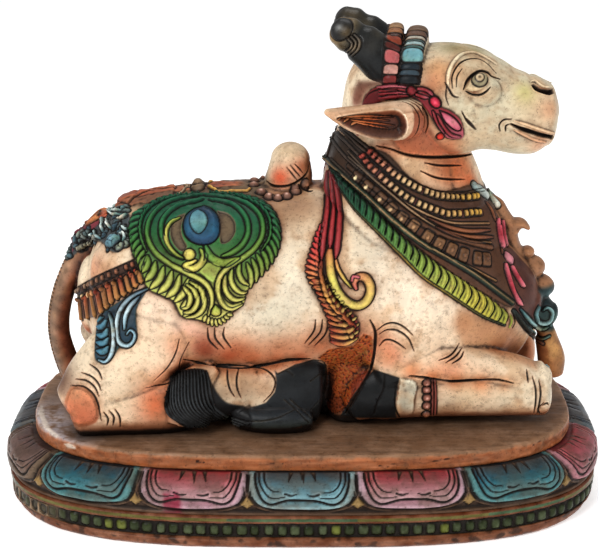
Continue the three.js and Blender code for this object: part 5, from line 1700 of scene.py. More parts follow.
def carve_head(head):
    for pixel, radius, colour, strength in HEAD_SPRAYS_PX:
        head.spray(pixel, radius, colour, strength)
    for y in (1, -1):
        path = turned(in_place(np.array([[r[0], r[1] * y, r[2]] for r in HORN])), HEAD_TURN_DEG)
        which, share, _ = head.near_axis(curve(path, lambda length: 8), 19)
        place = upright(head.points[which])
        horn = smoothstep(66, 62, place[:, 0]) * smoothstep(222, 228, place[:, 2] + 0.35 * (60 - place[:, 0]))
        tip = (42, 40, 37) if y < 0 else (128, 106, 72)
        tone = ramp([(24, 26, 27), (26, 28, 29), (32, 33, 32), tip], share)
        head.paint(which, tone, horn, 0.5)
    carve_cheek(head)
    head.region(PLACES_PX["ear_rim"][0], 0.3, [(206, 172, 142), (204, 160, 128), (226, 204, 180)], soft=0.8)
    hollow = np.array(PLACES_PX["ear_hollow"][0], float)
    wider = hollow.mean(axis=0) + (hollow - hollow.mean(axis=0)) * np.array([1.03, 1.14])
    head.region(wider, 0, [(226, 204, 176)], soft=0.7, sides=(0,))
    head.region(hollow, -6.5, [(110, 58, 36), (74, 40, 30), (66, 40, 30)], soft=0.8, bevel=3.0)
    head.lines("ear_stripes", 1.8, 0.9, [(206, 132, 84), (170, 84, 44), (84, 44, 30)], ends=(0.3, 0.3), rim=0.5)
    head.lines("ear_roots", 1.2, -1.0, [BURNT, UMBER, BURNT], ends=(0.3, 0.3))
    paint_hoop(head, *BACK_HOOP, BACK_BLOCKS)
    paint_hoop(head, *FRONT_HOOP, FRONT_BLOCKS)
    head.region(PLACES_PX["halter"][0], 1.1, [(104, 32, 34), (120, 38, 44), (150, 76, 86)], soft=0.6, bevel=1.5)
    head.lines("halter_ridges", 2.0, 1.3, [(150, 62, 66), (118, 36, 40), (166, 86, 96)], rim=0.7,
               rim_colour=(44, 12, 14), ends=(0.2, 0.2))
    leaf = PLACES_PX["halter_leaf"][0]
    head.region(leaf, 1.4, [(146, 56, 72), (184, 104, 120), (150, 62, 78)], soft=0.5, bevel=2.5)
    head.stroke(head.cast([*leaf, leaf[0]]), 1.1, -0.9, [(44, 14, 16)])
    head.bead_under(SPOTS_PX["halter_knob"], (1, 0, -1), (7.2, 5.4), 2.2, (190, 44, 66), rim=0.9, glint=0.15)
    head.bead_under(SPOTS_PX["halter_knot"], (1, 0, 0), (4.6, 6.0), 1.8, (110, 30, 36), rim=0.8)
    head.bead_under(SPOTS_PX["halter_bud"], (1, 0, 1), (4.6, 4.2), 1.4, (190, 48, 34), rim=0.7)
    head.lines("horn_rings", 1.7, 1.2, [(60, 56, 52), (110, 96, 78), (50, 48, 46)], rim=0.7)
    head.bead_under(SPOTS_PX["horn_knob"], (1, 0, 1), (15, 15), 1.0, (34, 34, 34), rim=0.7, shade=0.3, glint=0.1)
    for pixel, radius, colour, strength in HORN_SPRAYS_PX:
        head.spray(pixel, radius, colour, strength)
    # A pale painted highlight along the crest of the raised brow ridge.
    head.lines("brow_ridge", 2.8, 0.9, [(226, 214, 184)], ends=(0.2, 0.2), blend=0.6)
    head.lines("brow_line", 1.2, -1.0, [(80, 62, 44), (60, 46, 34), (90, 72, 52)], ends=(0.25, 0.3))
    head.lines("brow_line_2", 1.0, -0.8, [(84, 64, 46)], ends=(0.4, 0.4))
    head.region(PLACES_PX["almond"][0], 1.6, [(186, 172, 138), (196, 184, 150)], soft=0.5, bevel=4)
    head.bead_under(
        SPOTS_PX["iris"], (1, 0, 0), (9.0, 9.0), 1.0, (150, 138, 108), rim=0.8, rim_colour=(44, 34, 26), shade=0.2,
    )
    for size, tone in ((5.8, (50, 40, 32)), (4.2, (206, 194, 160)), (1.6, (90, 74, 56))):
        head.bead_under(SPOTS_PX["iris"], (1, 0, 0), (size, size), 0.15, tone, rim=0, shade=0.05)
    head.lines("lid_top", 1.9, -1.4, [(60, 46, 34), INK, INK, (70, 52, 38)], ends=(0.2, 0.3))
    head.lines("lid_low", 1.6, -1.2, [INK, (60, 46, 34)], ends=(0.2, 0.25))
    head.lines("temple", 1.5, -0.9, [UMBER, INK, UMBER], ends=(0.3, 0.3))
    head.lines("nostril_rim", 2.0, 1.1, [(206, 190, 160)], ends=(0.3, 0.3), blend=0.5)
    head.region(PLACES_PX["nostril_shape"][0], -3.4, [(34, 24, 20)], soft=0.5, bevel=1.8)
    head.lines("mouth_curl", 1.2, -1.0, [UMBER, INK, UMBER], ends=(0.3, 0.3))
    head.lines("mouth_deep", 3.0, -3.2, [(70, 44, 34), INK, INK, INK], ends=(0.25, 0.1))
    head.lines("lip_top", 2.2, 0.8, [(196, 156, 120)], ends=(0.3, 0.2), blend=0.7)
    head.lines("lip_low", 2.2, 0.9, [(186, 132, 96)], ends=(0.3, 0.2), blend=0.7)
    head.lines("cheek_dark", 1.5, -0.8, [UMBER, (50, 36, 28), UMBER], ends=(0.4, 0.4))
    head.lines("cheek_lines", 0.9, -0.6, [UMBER, INK, UMBER], ends=(0.4, 0.4))
    head.lines("jaw_shadow", 2.0, -1.5, [BURNT, UMBER, BURNT], ends=(0.2, 0.2))


def shade_and_weathering(skin, floor, strength=1.0):
    """Painted shade where the wood is closed in, painted contact shadow just above the floor where there is one,
    brown round the carving, rubbed and stained elsewhere.
    """
    p = skin.points
    shut = skin.shelter(floor)
    near = skin.halo()
    wide, mid, small = noise(p, 17), noise(p + 200, 6), noise(p + 400, 2.1)

    def wash(tone, cover):
        skin.paint(slice(None), np.minimum(skin.colour, np.array(tone)), np.clip(cover, 0, 1))

    # Painted shade: warm brown, then dark brown, then near black, the more a point is closed in by what stands round
    # it.
    wash((150, 84, 48), 0.60 * strength * smoothstep(0.16, 0.50, shut + 0.06 * wide + 0.04 * mid))
    wash((84, 40, 24), 0.75 * strength * smoothstep(0.36, 0.70, shut + 0.05 * wide + 0.04 * mid))
    wash((22, 14, 11), 0.95 * smoothstep(0.60, 0.88, shut + 0.04 * mid))
    wash((116, 72, 46), 0.8 * strength * near * 2.1 * (0.8 + 0.4 * mid + 0.25 * small))
    wash((176, 128, 88), 0.42 * strength * smoothstep(0.0, 0.6, 0.7 * wide + 0.45 * mid + 0.12 * small))
    wash((132, 100, 74), 0.22 * strength * smoothstep(0.25, 0.6, 0.7 * small + 0.4 * noise(p + 700, 1.2) + 0.3 * mid))
    # Painted contact shadow: brown, then near black, in the lowest few millimetres above the floor.
    if floor is not None:
        up = p[:, 2] - floor + 0.7 * mid
        wash((104, 60, 38), 0.85 * smoothstep(13.0, 5.0, up))
        wash((20, 14, 11), smoothstep(6.4, 3.2, up))


def scatter(skin, name, count, sizes, height, colours, seed):
    """Small beads and curls thrown over a region."""
    random = np.random.default_rng(seed)
    outline = np.array(PLACES_PX[name][0], float)
    low, high = outline.min(axis=0), outline.max(axis=0)
    made = 0
    while made < count:
        spot = random.uniform(low, high)
        if polygon_cover(spot[None], outline, 0.5)[0] < 0.5:
            continue
        made += 1
        place = skin.cast([spot, spot])
        if len(place):
            way = random.normal(size=3)
            size = random.uniform(*sizes)
            skin.bead(place[0], way, (size * 1.5, size), height, colours[made % len(colours)], rim=0.7, shade=0.45)


# Soft spots of paint, as (place in the photograph, radius in millimetres, colour, strength).
FLESH_SPRAYS_PX = [
    ((285, 215), 18, (146, 104, 70), 0.88),
    ((262, 202), 18, (150, 108, 74), 0.85),
    ((300, 205), 14, (142, 100, 68), 0.85),
    ((400, 153), 9, (176, 96, 62), 0.9),
    ((430, 158), 12, (184, 112, 76), 0.9),
    ((455, 165), 12, (166, 82, 44), 0.9),
    ((385, 150), 8, (140, 78, 54), 0.9),
    ((420, 172), 12, (210, 164, 128), 0.8),
    ((250, 270), 26, (222, 196, 162), 0.8),
    ((300, 250), 22, (226, 206, 178), 0.7),
    ((280, 345), 15, (192, 104, 62), 0.8),
    ((240, 350), 15, (186, 96, 56), 0.85),
    ((270, 300), 26, (226, 214, 192), 0.8),
    ((300, 280), 20, (222, 208, 184), 0.7),
    ((275, 318), 14, (196, 188, 162), 0.45),
    ((200, 342), 11, (140, 62, 36), 0.7),
    ((320, 345), 14, (170, 84, 48), 0.8),
    ((355, 335), 14, (158, 72, 38), 0.8),
    ((160, 310), 20, (240, 208, 182), 0.8),
    ((140, 350), 22, (236, 204, 170), 0.8),
    ((190, 330), 10, (236, 176, 150), 0.7),
    ((165, 385), 12, (226, 140, 96), 0.7),
    ((155, 405), 15, (190, 84, 46), 0.9),
    ((80, 410), 12, (208, 104, 64), 0.7),
    ((120, 400), 14, (222, 194, 160), 0.7),
    ((95, 270), 14, (198, 136, 102), 0.85),
    ((110, 285), 9, (208, 120, 92), 0.6),
    ((88, 330), 7, (176, 92, 56), 0.9),
    ((420, 290), 30, (246, 222, 198), 0.7),
    ((395, 250), 20, (216, 204, 184), 0.7),
    ((390, 355), 10, (214, 112, 72), 0.8),
    ((380, 340), 8, (222, 130, 92), 0.7),
    ((430, 345), 16, (236, 202, 168), 0.7),
    ((450, 372), 12, (196, 104, 66), 0.6),
    ((480, 384), 12, (206, 128, 86), 0.6),
    ((470, 395), 12, (210, 186, 150), 0.7),
    ((510, 395), 14, (206, 184, 152), 0.7),
    ((545, 395), 8, (206, 196, 172), 0.8),
    ((450, 410), 8, (126, 96, 70), 0.6),
    ((500, 340), 12, (172, 118, 80), 0.8),
    ((530, 355), 8, (196, 96, 62), 0.8),
    ((290, 150), 12, (192, 166, 134), 0.9),
    ((280, 178), 7, (214, 82, 48), 0.9),
    ((302, 168), 7, (206, 96, 60), 0.7),
    ((60, 300), 10, (116, 78, 58), 0.95),
    ((52, 250), 12, (104, 74, 56), 0.95),
    ((57, 340), 12, (120, 76, 56), 0.95),
    ((62, 380), 12, (92, 62, 48), 0.95),
    ((50, 280), 9, (128, 92, 72), 0.9),
    ((412, 162), 14, (226, 198, 160), 0.85),
    ((450, 168), 14, (178, 92, 52), 0.8),
    ((470, 182), 8, (186, 84, 44), 0.8),
    ((240, 375), 9, (184, 152, 118), 0.85),
    ((262, 388), 9, (166, 126, 94), 0.8),
    ((215, 378), 8, (196, 160, 124), 0.8),
    # A darker spot deepening the painted cast shadow on the belly.
    ((205, 352), 6, (96, 42, 26), 0.6),
    ((515, 225), 8, (176, 120, 84), 0.9),
    ((532, 266), 9, (168, 112, 76), 0.95),
    ((542, 286), 9, (166, 106, 70), 0.95),
    ((546, 318), 11, (84, 112, 112), 0.95),
    ((553, 360), 9, (196, 142, 84), 0.95),
    ((553, 376), 5, (150, 84, 56), 0.7),
    ((228, 357), 9, (150, 62, 34), 0.85),
    ((252, 359), 8, (168, 76, 42), 0.8),
    ((276, 361), 8, (172, 80, 44), 0.8),
    ((300, 359), 8, (168, 76, 42), 0.8),
    # Painted cast shadow on the belly.
    ((205, 349), 9, (134, 52, 28), 0.75),
    ((176, 346), 8, (232, 160, 122), 0.8),
    ((182, 362), 8, (224, 138, 98), 0.8),
    ((168, 378), 9, (226, 148, 110), 0.75),
    ((240, 390), 8, (138, 104, 76), 0.7),
    ((222, 394), 6, (124, 96, 72), 0.6),
    ((465, 322), 8, (158, 92, 56), 0.85),
    ((485, 329), 11, (164, 112, 78), 0.8),
    ((508, 337), 10, (158, 106, 74), 0.8),
    ((528, 347), 7, (176, 86, 54), 0.85),
    ((412, 371), 7, (208, 112, 64), 0.75),
    ((432, 377), 6, (210, 112, 60), 0.8),
    ((456, 380), 6, (212, 118, 68), 0.75),
    ((480, 382), 6, (214, 126, 76), 0.7),
    ((505, 384), 5, (216, 134, 88), 0.55),
]
HORN_SPRAYS_PX = [
    ((352, 14), 6, (88, 74, 52), 0.55),
    ((366, 24), 6, (90, 78, 58), 0.5),
    ((378, 33), 5, (78, 70, 56), 0.5),
    ((372, 46), 6, (70, 66, 60), 0.45),
    # Painted highlights on the near horn's knob: a golden-brown one and a grey-white glint.
    ((346, 32), 3.5, (104, 82, 50), 0.6),
    ((339, 28), 2.6, (146, 148, 148), 0.55),
]
HEAD_SPRAYS_PX = [
    ((450, 130), 16, (196, 184, 150), 0.8),
    ((470, 70), 20, (200, 189, 160), 0.9),
    ((500, 110), 20, (198, 188, 160), 0.9),
    ((530, 105), 14, (212, 188, 152), 0.9),
    ((550, 110), 9, (204, 142, 104), 0.7),
    ((540, 145), 8, (206, 150, 116), 0.8),
    ((525, 92), 7, (176, 168, 96), 0.6),
    ((440, 70), 12, (206, 148, 100), 0.8),
    ((432, 85), 9, (180, 104, 66), 0.7),
    ((455, 48), 9, (140, 124, 84), 0.85),
    ((475, 50), 6, (146, 134, 90), 0.7),
    ((425, 148), 14, (178, 92, 58), 0.9),
    ((450, 145), 9, (190, 110, 72), 0.8),
    ((420, 125), 10, (150, 72, 46), 0.8),
    ((400, 150), 10, (186, 110, 74), 0.8),
    ((345, 110), 14, (206, 166, 134), 0.95),
    ((380, 112), 14, (200, 156, 122), 0.95),
    ((418, 128), 8, (188, 128, 88), 0.9),
    ((370, 60), 20, (50, 52, 52), 1.0),
    ((340, 40), 16, (44, 46, 46), 1.0),
    ((355, 25), 12, (72, 66, 58), 0.9),
    ((385, 60), 14, (56, 56, 54), 1.0),
    ((350, 95), 8, (186, 176, 150), 0.7),
    ((344, 35), 6, (96, 84, 60), 0.6),
]


# The plinth: rings of points round its plan, laid out by lengths along its outline.
# The station s runs in millimetres from the middle of the front towards +X, and d down a profile.
FRONT_STEP = 0.62
BACK_STEP = 1.15
SEAT_COARSER = 1.25
LOTUS_STEP = 0.62
FOOT_STEP = 0.66
SEAT_STEP = 0.95
PLAN_SQUARENESS = 3
PETAL_COUNT = 16
PETAL_CROWDING = 0.026
PETAL_WIDTH = 65
PETAL_DEPTH = 28
PETAL_TOP = 17.0
STUD_DEPTH = 23.6
BEAD_COUNT = 126
BEAD_DEPTH = 9.9
RIDGE_DEPTH = 5.1
BAND_DEPTH = 14.8
SCRATCH_COUNT = 26
SEAT_TOP_Z = SEAT_TOP - SEAT_GAP
SEAT_LOW_Z = SEAT_TOP - SEAT_GAP - SEAT_THICKNESS
LOTUS_LOW_Z = SEAT_LOW_Z - LOTUS_HEIGHT
SEAT_EDGE = (PLINTH_LENGTH - SEAT_LENGTH) / 2
HIDDEN_WOOD = (60, 44, 34)
HIDDEN_SEAT_WOOD = (90, 66, 50)

# Profiles as (inset, height), over the seat's underside, over the underside of the lotus, and from the seat's
# edge and top.
LOTUS_PROFILE = [(34, 0.2), (17, 0), (7.5, -3.45), (4.0, -5.8), (2, -8.7), (1.4, -14.5), (1.4, -17), (2.8, -21.5),
                 (3.6, -23), (14, -23.4)]
FOOT_PROFILE = [(14, 0), (3.0, 0), (1.8, -0.8), (1.8, -4.0), (2.6, -4.9), (4.0, -5.4), (4.0, -14.4), (2.4, -15),
                (0.8, -16.0), (1.1, -19.6), (3.0, -21.6)]
SEAT_PROFILE = [(92, -0.4), (60, -0.4), (30, -0.35), (6, -0.2), (1.8, 0), (0.5, -0.7), (0, -2.0), (0, -8.6),
                (0.8, -10.4)]


def noise(points, size):
    """Smooth bumps of about that size, from -1 to 1."""
    p = np.asarray(points, float) @ NOISE_TURN / size + 40
    low = np.floor(p).astype(int)
    f = p - low
    f = f * f * (3 - 2 * f)
    total = np.zeros(len(p))
    for corner in range(8):
        step = np.array([(corner >> k) & 1 for k in range(3)])
        share = np.prod(np.where(step, f, 1 - f), axis=1)
        i, j, k = ((low + step) % len(NOISE_GRID)).T
        total += share * NOISE_GRID[i, j, k]
    return total


NOISE_GRID = np.random.default_rng(11).uniform(-1, 1, (48, 48, 48))
NOISE_TURN = np.linalg.qr(np.random.default_rng(21).normal(size=(3, 3)))[0]


def bumps(grid, size):
    """The same for a grid of points."""
    return noise(grid.reshape(-1, 3), size).reshape(grid.shape[:-1])


def plan_point(half_length, half_width, turn):
    power = 2 / PLAN_SQUARENESS
    return half_length * squared(np.cos(turn), power), half_width * squared(np.sin(turn), power)


def plan_table():
    """Turns round the plan and the lengths along its outline that they stand for."""
    turn = np.linspace(-math.pi / 2, 1.5 * math.pi, 20001)
    x, y = plan_point(PLINTH_LENGTH / 2, PLINTH_WIDTH / 2, turn)
    run = np.concatenate([[0], np.cumsum(np.hypot(np.diff(x), np.diff(y)))])
    return turn, run


PLAN_TURN, PLAN_RUN = plan_table()
OUTLINE = PLAN_RUN[-1]


def columns(coarser=1.0):
    """Stations round the plinth, closer together where the camera sees them."""
    made, s = [], 0.0
    while s < OUTLINE:
        made.append(s)
        away = min(s, OUTLINE - s) / (OUTLINE / 2)
        s += coarser * (FRONT_STEP + (BACK_STEP - FRONT_STEP) * float(smoothstep(0.45, 0.65, away)))
    return np.array(made[:-1])


def rings(profile, stations):
    """Points of a band round the plinth. profile is rows of inset and height."""
    turn = np.interp(stations, PLAN_RUN, PLAN_TURN)
    made = []
    for inset, height in profile:
        x, y = plan_point(PLINTH_LENGTH / 2 - inset, PLINTH_WIDTH / 2 - inset, turn)
        made.append(np.stack([x, y, np.full(len(turn), height)], axis=1))
    return np.array(made)


def offset_rings(profile, stations):
    """The same for a band whose rows lie at equal distances inside the outline."""
    turn = np.interp(stations, PLAN_RUN, PLAN_TURN)
    here, after, before = (
        np.stack(plan_point(PLINTH_LENGTH / 2, PLINTH_WIDTH / 2, turn + step), axis=1) for step in (0, 0.002, -0.002)
    )
    way = after - before
    way /= np.linalg.norm(way, axis=1)[:, None]
    out = np.stack([way[:, 1], -way[:, 0]], axis=1)
    return np.array([np.column_stack([here - inset * out, np.full(len(turn), high)]) for inset, high in profile])


def fine_profile(points, step):
    """Steps along a profile, with the length down it from its first point."""
    points = np.asarray(points, float)
    length = np.concatenate([[0], np.cumsum(np.hypot(*np.diff(points, axis=0).T))])
    count = int(round(length[-1] / step))
    wanted = np.linspace(0, length[-1], count + 1)
    wanted = np.unique(np.concatenate([wanted, length]).round(4))
    wanted = wanted[np.concatenate([[True], np.diff(wanted) > step * 0.2])]
    return np.stack([np.interp(wanted, length, points[:, k]) for k in range(2)], axis=1), wanted


def ring_mesh(grid):
    """Triangles of a grid of rings that runs from the top edge down, with both ends capped flat."""
    rows, across = grid.shape[:2]
    points = grid.reshape(-1, 3)
    k = np.arange(across)
    following = (k + 1) % across
    tris = []
    for i in range(rows - 1):
        a, b = i * across + k, i * across + following
        c, d = a + across, b + across
        tris += [np.stack([a, c, b], 1), np.stack([b, c, d], 1)]
    top, low = len(points), len(points) + 1
    points = np.vstack([points, grid[0].mean(axis=0), grid[-1].mean(axis=0)])
    tris.append(np.stack([k, following, np.full(across, top)], 1))
    last = (rows - 1) * across
    tris.append(np.stack([last + following, last + k, np.full(across, low)], 1))
    return points, np.vstack(tris)


def laid_out(grid, stations):
    """Normals of a grid, and its stations, counted from 0 and from the middle of the front."""
    points, tris = ring_mesh(grid)
    s = np.broadcast_to(stations, grid.shape[:2])
    return normals_of(points, tris)[:-2].reshape(grid.shape), s, np.where(s > OUTLINE / 2, s - OUTLINE, s)


def with_caps(colour, tone):
    """A grid's colours as a list, with those of the two points that close it."""
    return np.vstack([colour.reshape(-1, 3), [tone] * 2])


def from_station(s, place):
    """Lengths along the outline from a place on it."""
    return (s - place + OUTLINE / 2) % OUTLINE - OUTLINE / 2


def line_distance(x, y, line):
    """Distance from a line of points, and the share along it."""
    line = np.asarray(line, float)
    best = np.full(x.shape, np.inf)
    share = np.zeros(x.shape)
    for i in range(len(line) - 1):
        a, way = line[i], line[i + 1] - line[i]
        t = np.clip(((x - a[0]) * way[0] + (y - a[1]) * way[1]) / (way @ way), 0, 1)
        away = np.hypot(x - a[0] - t * way[0], y - a[1] - t * way[1])
        closer = away < best
        best[closer] = away[closer]
        share[closer] = (i + t[closer]) / (len(line) - 1)
    return best, share


# The lines cut into half a petal, as (distance from its middle, depth from its top), in millimetres.
PETAL_BRACKET = [(0, 20.4), (7, 20.6), (12, 21.6), (16, 22.8), (20, 22.9), (24.0, 20.4), (26.8, 15.4), (28.3, 9),
                 (28.9, 1)]
PETAL_SIDE_LINES = [
    [(26.4, 0), (26.0, 8), (24.0, 14), (20.5, 18.2), (15, 19.0), (10, 18.4)],
    [(23.4, 0), (23.0, 7), (21.2, 12.2), (18, 15), (13, 15.8)],
    [(10, 17.0), (6.5, 17.8), (3, 17.2)],
]
PETAL_MARKS = [[(0.4, 0), (0.8, 10.5)], [(6.6, 0), (8.2, 9.0)]]

# A petal's colours, down its inner field and from its edge inwards.
BLUE_PETAL = ([(46, 52, 58), (58, 88, 100), (96, 140, 152), (120, 160, 168)], [(92, 130, 138), (176, 204, 204)])
ROSE_PETAL = ([(140, 40, 42), (166, 66, 72), (176, 112, 116), (186, 148, 152)], [(166, 118, 128), (204, 174, 186)])
TEAL_PETAL = ([(40, 46, 52), (30, 72, 90), (44, 104, 118), (78, 132, 136)], [(50, 102, 108), (112, 162, 160)])
MAUVE_PETAL = ([(82, 62, 58), (104, 78, 74), (112, 86, 78), (118, 92, 80)], [(96, 76, 62), (124, 104, 84)])
PINK_PETAL = ([(134, 46, 50), (178, 76, 84), (166, 92, 100), (150, 96, 100)], [(150, 96, 104), (196, 132, 140)])
DARK_PETAL = ([(44, 48, 56), (62, 70, 80), (84, 92, 100), (96, 104, 108)], [(70, 76, 80), (110, 120, 124)])
PETALS_FROM_FRONT = [BLUE_PETAL, ROSE_PETAL, TEAL_PETAL, PINK_PETAL, DARK_PETAL, ROSE_PETAL, TEAL_PETAL, PINK_PETAL,
                     DARK_PETAL]
MAUVE_PLACE = -3
BLOT_PX = [(163, 493), (168, 491), (176, 491), (180, 496), (181, 513), (172, 514), (163, 513)]


def petal_centre(k):
    share = abs(k) / (PETAL_COUNT / 2)
    return math.copysign(OUTLINE / 2 * (share + PETAL_CROWDING * math.sin(math.pi * share) ** 2), k)


def lotus_ring():
    """The ring of petals, with their rims, grooves and marks carved in, and the studs between them."""
    rows, down = fine_profile([(inset, SEAT_LOW_Z + rise) for inset, rise in LOTUS_PROFILE], LOTUS_STEP)
    stations = columns()
    grid = offset_rings(rows, stations)
    normals, _, s = laid_out(grid, stations)
    d = np.broadcast_to((down - PETAL_TOP)[:, None], grid.shape[:2])
    height = -2.4 + 0.25 * bumps(grid, 9)
    colour = tinted((74, 54, 40), (14, bumps(grid + 300, 5)))
    numbers = range(1 - PETAL_COUNT // 2, PETAL_COUNT // 2 + 1)
    centres = [petal_centre(k) for k in numbers]
    centres = [centres[-1] - OUTLINE, *centres, centres[0] + OUTLINE]
    for n, k in enumerate(numbers):
        left, here, right = centres[n : n + 3]
        width = (right - left) / 2 / (OUTLINE / PETAL_COUNT)
        dx = from_station(s, here)
        mine = np.abs(dx) < (right - left) * 0.3
        x, y = dx[mine] / width, d[mine]
        x = x + 0.5 * noise(np.stack([x, y, np.full(x.shape, 9.0 * k)], 1), 12)
        y = y + 0.5 * noise(np.stack([x, y, np.full(x.shape, 9.0 * k + 99)], 1), 12)
        made, tone, cover = one_petal(x, y, k)
        height[mine] += made
        colour[mine] = over(colour[mine], tone, cover)
        stud = np.abs(from_station(s, (right + here) / 2)) / 4.2 + np.abs(d - STUD_DEPTH) / 4.4
        height += 2.6 * np.clip(1.15 - stud, 0, 0.8)
        colour = over(colour, (128, 102, 62), 1 - smoothstep(0.85, 1.2, stud))
    shown = smoothstep(-1.5, 1.5, d) * (1 - smoothstep(29.8, 31.5, d))
    points, tris = ring_mesh(grid + normals * (height * shown)[..., None])
    blot = polygon_cover(pixel_of(points), BLOT_PX, 2.4) * (points[:, 1] < 0)
    blot = blot * np.clip(0.66 + 0.5 * noise(points, 3.5), 0, 0.9)
    return points, tris, over(with_caps(colour, HIDDEN_WOOD), (112, 26, 44), blot)


def smooth_line(line):
    return curve(line, lambda length: 6)


def one_petal(x, y, k):
    """Height, colour and cover of one petal, at distances x from its middle and y from its top."""
    side = np.abs(x)
    w, t = side / (PETAL_WIDTH / 2), np.clip(y, 0, None) / PETAL_DEPTH
    q = np.maximum((w**4 + t**4) ** (1 / 4), 1e-6)
    slope = np.hypot(w**3 / (q**3 * PETAL_WIDTH / 2), t**3 / (q**3 * PETAL_DEPTH))
    depth = (1 - q) / np.maximum(slope, 1 / PETAL_WIDTH)
    inner, rim = MAUVE_PETAL if k == MAUVE_PLACE else PETALS_FROM_FRONT[abs(k)]
    height = 3.6 * smoothstep(-0.6, 2.4, depth)
    height += 0.9 * (1 - smoothstep(0.2, 0.9, np.abs(depth + 2.4)))
    away, _ = line_distance(side, y, smooth_line(PETAL_BRACKET))
    low = np.interp(side, *zip(*PETAL_BRACKET))
    within = (side < PETAL_BRACKET[-1][0]) & (y < low)
    tone = ramp(rim, np.clip(1 - depth / 5.5, 0, 1))
    tone[within] = ramp(inner, y[within] / 20)
    height -= 1.1 * (1 - smoothstep(0.35, 1.1, away))
    dark = 1 - smoothstep(0.4, 1.0, away)
    for line in PETAL_SIDE_LINES:
        away, share = line_distance(side, y, smooth_line(line))
        thin = 1.0 - 0.6 * share
        cut = 1 - smoothstep(0.25 * thin, 0.95 * thin, away)
        height -= 0.8 * cut
        dark = np.maximum(dark, 0.85 * cut)
        # A painted highlight along each cut line, a little way off it.
        light = np.exp(-(((away - 1.2) / 0.5) ** 2)) * (side < np.interp(y, [0, 28], [26, 20]))
        tone = tone + (30 * light * (1 - share))[:, None]
    for line in PETAL_MARKS:
        lean = x if line[0][0] < 2 else side
        away, share = line_distance(lean, y, line)
        wide = 1.5 * (1 - share) + 0.15
        cut = 1 - smoothstep(wide - 0.5, wide + 0.3, away)
        height -= 0.8 * cut
        tone = over(tone, (44, 28, 24), 0.75 * cut)
        # A painted highlight down the middle of each mark.
        tone = over(tone, (150, 122, 92), 0.6 * (1 - smoothstep(0.1, 0.8 * wide, away)))
    tone = over(tone, (22, 18, 18), dark)
    place = np.stack([x, y, np.full(x.shape, 31.0 * k)], axis=1)
    dirt = smoothstep(-0.35, 0.65, noise(place, 7) + 0.5 * noise(place, 2.0) + 0.25 * (1 - t))
    tone = over(tone * 0.84, (78, 62, 50), 0.42 * dirt)
    edge = np.exp(-(((depth + 0.6) / 0.6) ** 2))
    tone = over(tone, (30, 22, 18), 0.6 * edge)
    return height, tone, np.maximum(smoothstep(-0.5, 0.3, depth), 0.8 * edge)


def foot_band():
    """The foot, the band of beads above it and the ridge that the petals stand on."""
    low = LOTUS_LOW_Z
    profile = [(inset, low + rise) for inset, rise in FOOT_PROFILE] + [(4.0, 0), (14, 0)]
    rows, _ = fine_profile(profile, FOOT_STEP)
    stations = columns()
    grid = offset_rings(rows, stations)
    draw_in = FOOT_END_INSET / (PLINTH_LENGTH / 2) * smoothstep(low - BAND_DEPTH, low - 16, grid[..., 2])
    grid[..., 0] *= 1 - draw_in
    normals, s, signed = laid_out(grid, stations)
    z = grid[..., 2]
    height = 0.22 * bumps(grid, 7) + 0.12 * bumps(grid, 2.6)
    mottle = bumps(grid + 90, 6)
    streak = bumps(grid * (0.25, 0.25, 1) + 50, 1.6)
    wave = bumps(signed[..., None] * (1, 0, 0), 60)
    ridge = z > low - RIDGE_DEPTH
    foot = z <= low - BAND_DEPTH
    band = ~ridge & ~foot
    top_line = (z > low - 3.4) & (z < low - 1.6)
    layers = (
        (ridge, tinted((96, 54, 34), (24, mottle))),
        (top_line, tinted((88, 82, 36), (18, streak))),
        (top_line & (wave > 0.25), tinted((60, 82, 54), (18, streak))),
        (band, tinted((38, 34, 22), (10, mottle))),
        (foot, tinted((112, 68, 46), (20, streak), (18, mottle))),
    )
    colour = np.zeros(grid.shape)
    for where, tone in layers:
        colour[where] = tone[where]
    scuff = smoothstep(0.25, 0.6, bumps(grid + 700, 4) + 0.4 * streak)
    colour *= 1 - 0.45 * (scuff * foot)[..., None]
    pitch = OUTLINE / BEAD_COUNT
    number = np.floor(s / pitch)
    random = np.random.default_rng(5).uniform(-1, 1, (BEAD_COUNT + 1, 5))
    choice = random[np.clip(number.astype(int), 0, BEAD_COUNT)]
    x = s - (number + 0.5) * pitch + 0.5 * choice[..., 0]
    y = z - (low - BEAD_DEPTH) + 0.4 * choice[..., 1]
    half = 3.1 + 0.4 * choice[..., 2]
    round_ = ((np.abs(x) / half) ** 3.5 + (np.abs(y) / 3.4) ** 3.5) ** (1 / 3.5)
    worn = smoothstep(150, 175, -signed) * (1 - smoothstep(330, 380, -signed))
    patchy = smoothstep(-0.1, 0.3, bumps(grid + 400, 12))
    worn = worn * np.where(signed < -205, 1.0, patchy)
    bead = np.sqrt(np.clip(1 - round_**2.4, 0, 1)) * band
    height += 2.1 * bead * (1 - 0.75 * worn)
    height += band * worn * 1.2 * smoothstep(0.8, 1.1, round_)
    lively = choice[..., 3:4] > 0.86
    beads = np.where(lively, np.array((86, 92, 36)), np.array((50, 58, 34)) + 14 * choice[..., 4:])
    beads = beads + 14 * bumps(grid, 1.8)[..., None]
    # Painted shade on the rounded sides of each bead.
    beads = beads * (1 - 0.35 * np.clip(round_, 0, 1)[..., None] ** 3)
    colour = over(colour, tinted((120, 96, 70), (24, mottle)), band * worn)
    colour = over(colour, over(beads, (74, 62, 44), 0.8 * worn), (1 - smoothstep(0.86, 1.04, round_)) * band)
    colour = over(colour, (26, 20, 14), 0.75 * np.exp(-(((round_ - 1.12) / 0.1) ** 2)) * band)
    shown = smoothstep(13.9, 8, rows[:, :1]) * (z > 0.3)
    grid = grid + normals * (height * shown)[..., None]
    grid[..., 2] = np.where(rows[:, 1:] <= 0, 0, grid[..., 2])
    return *ring_mesh(grid), with_caps(colour, HIDDEN_WOOD)


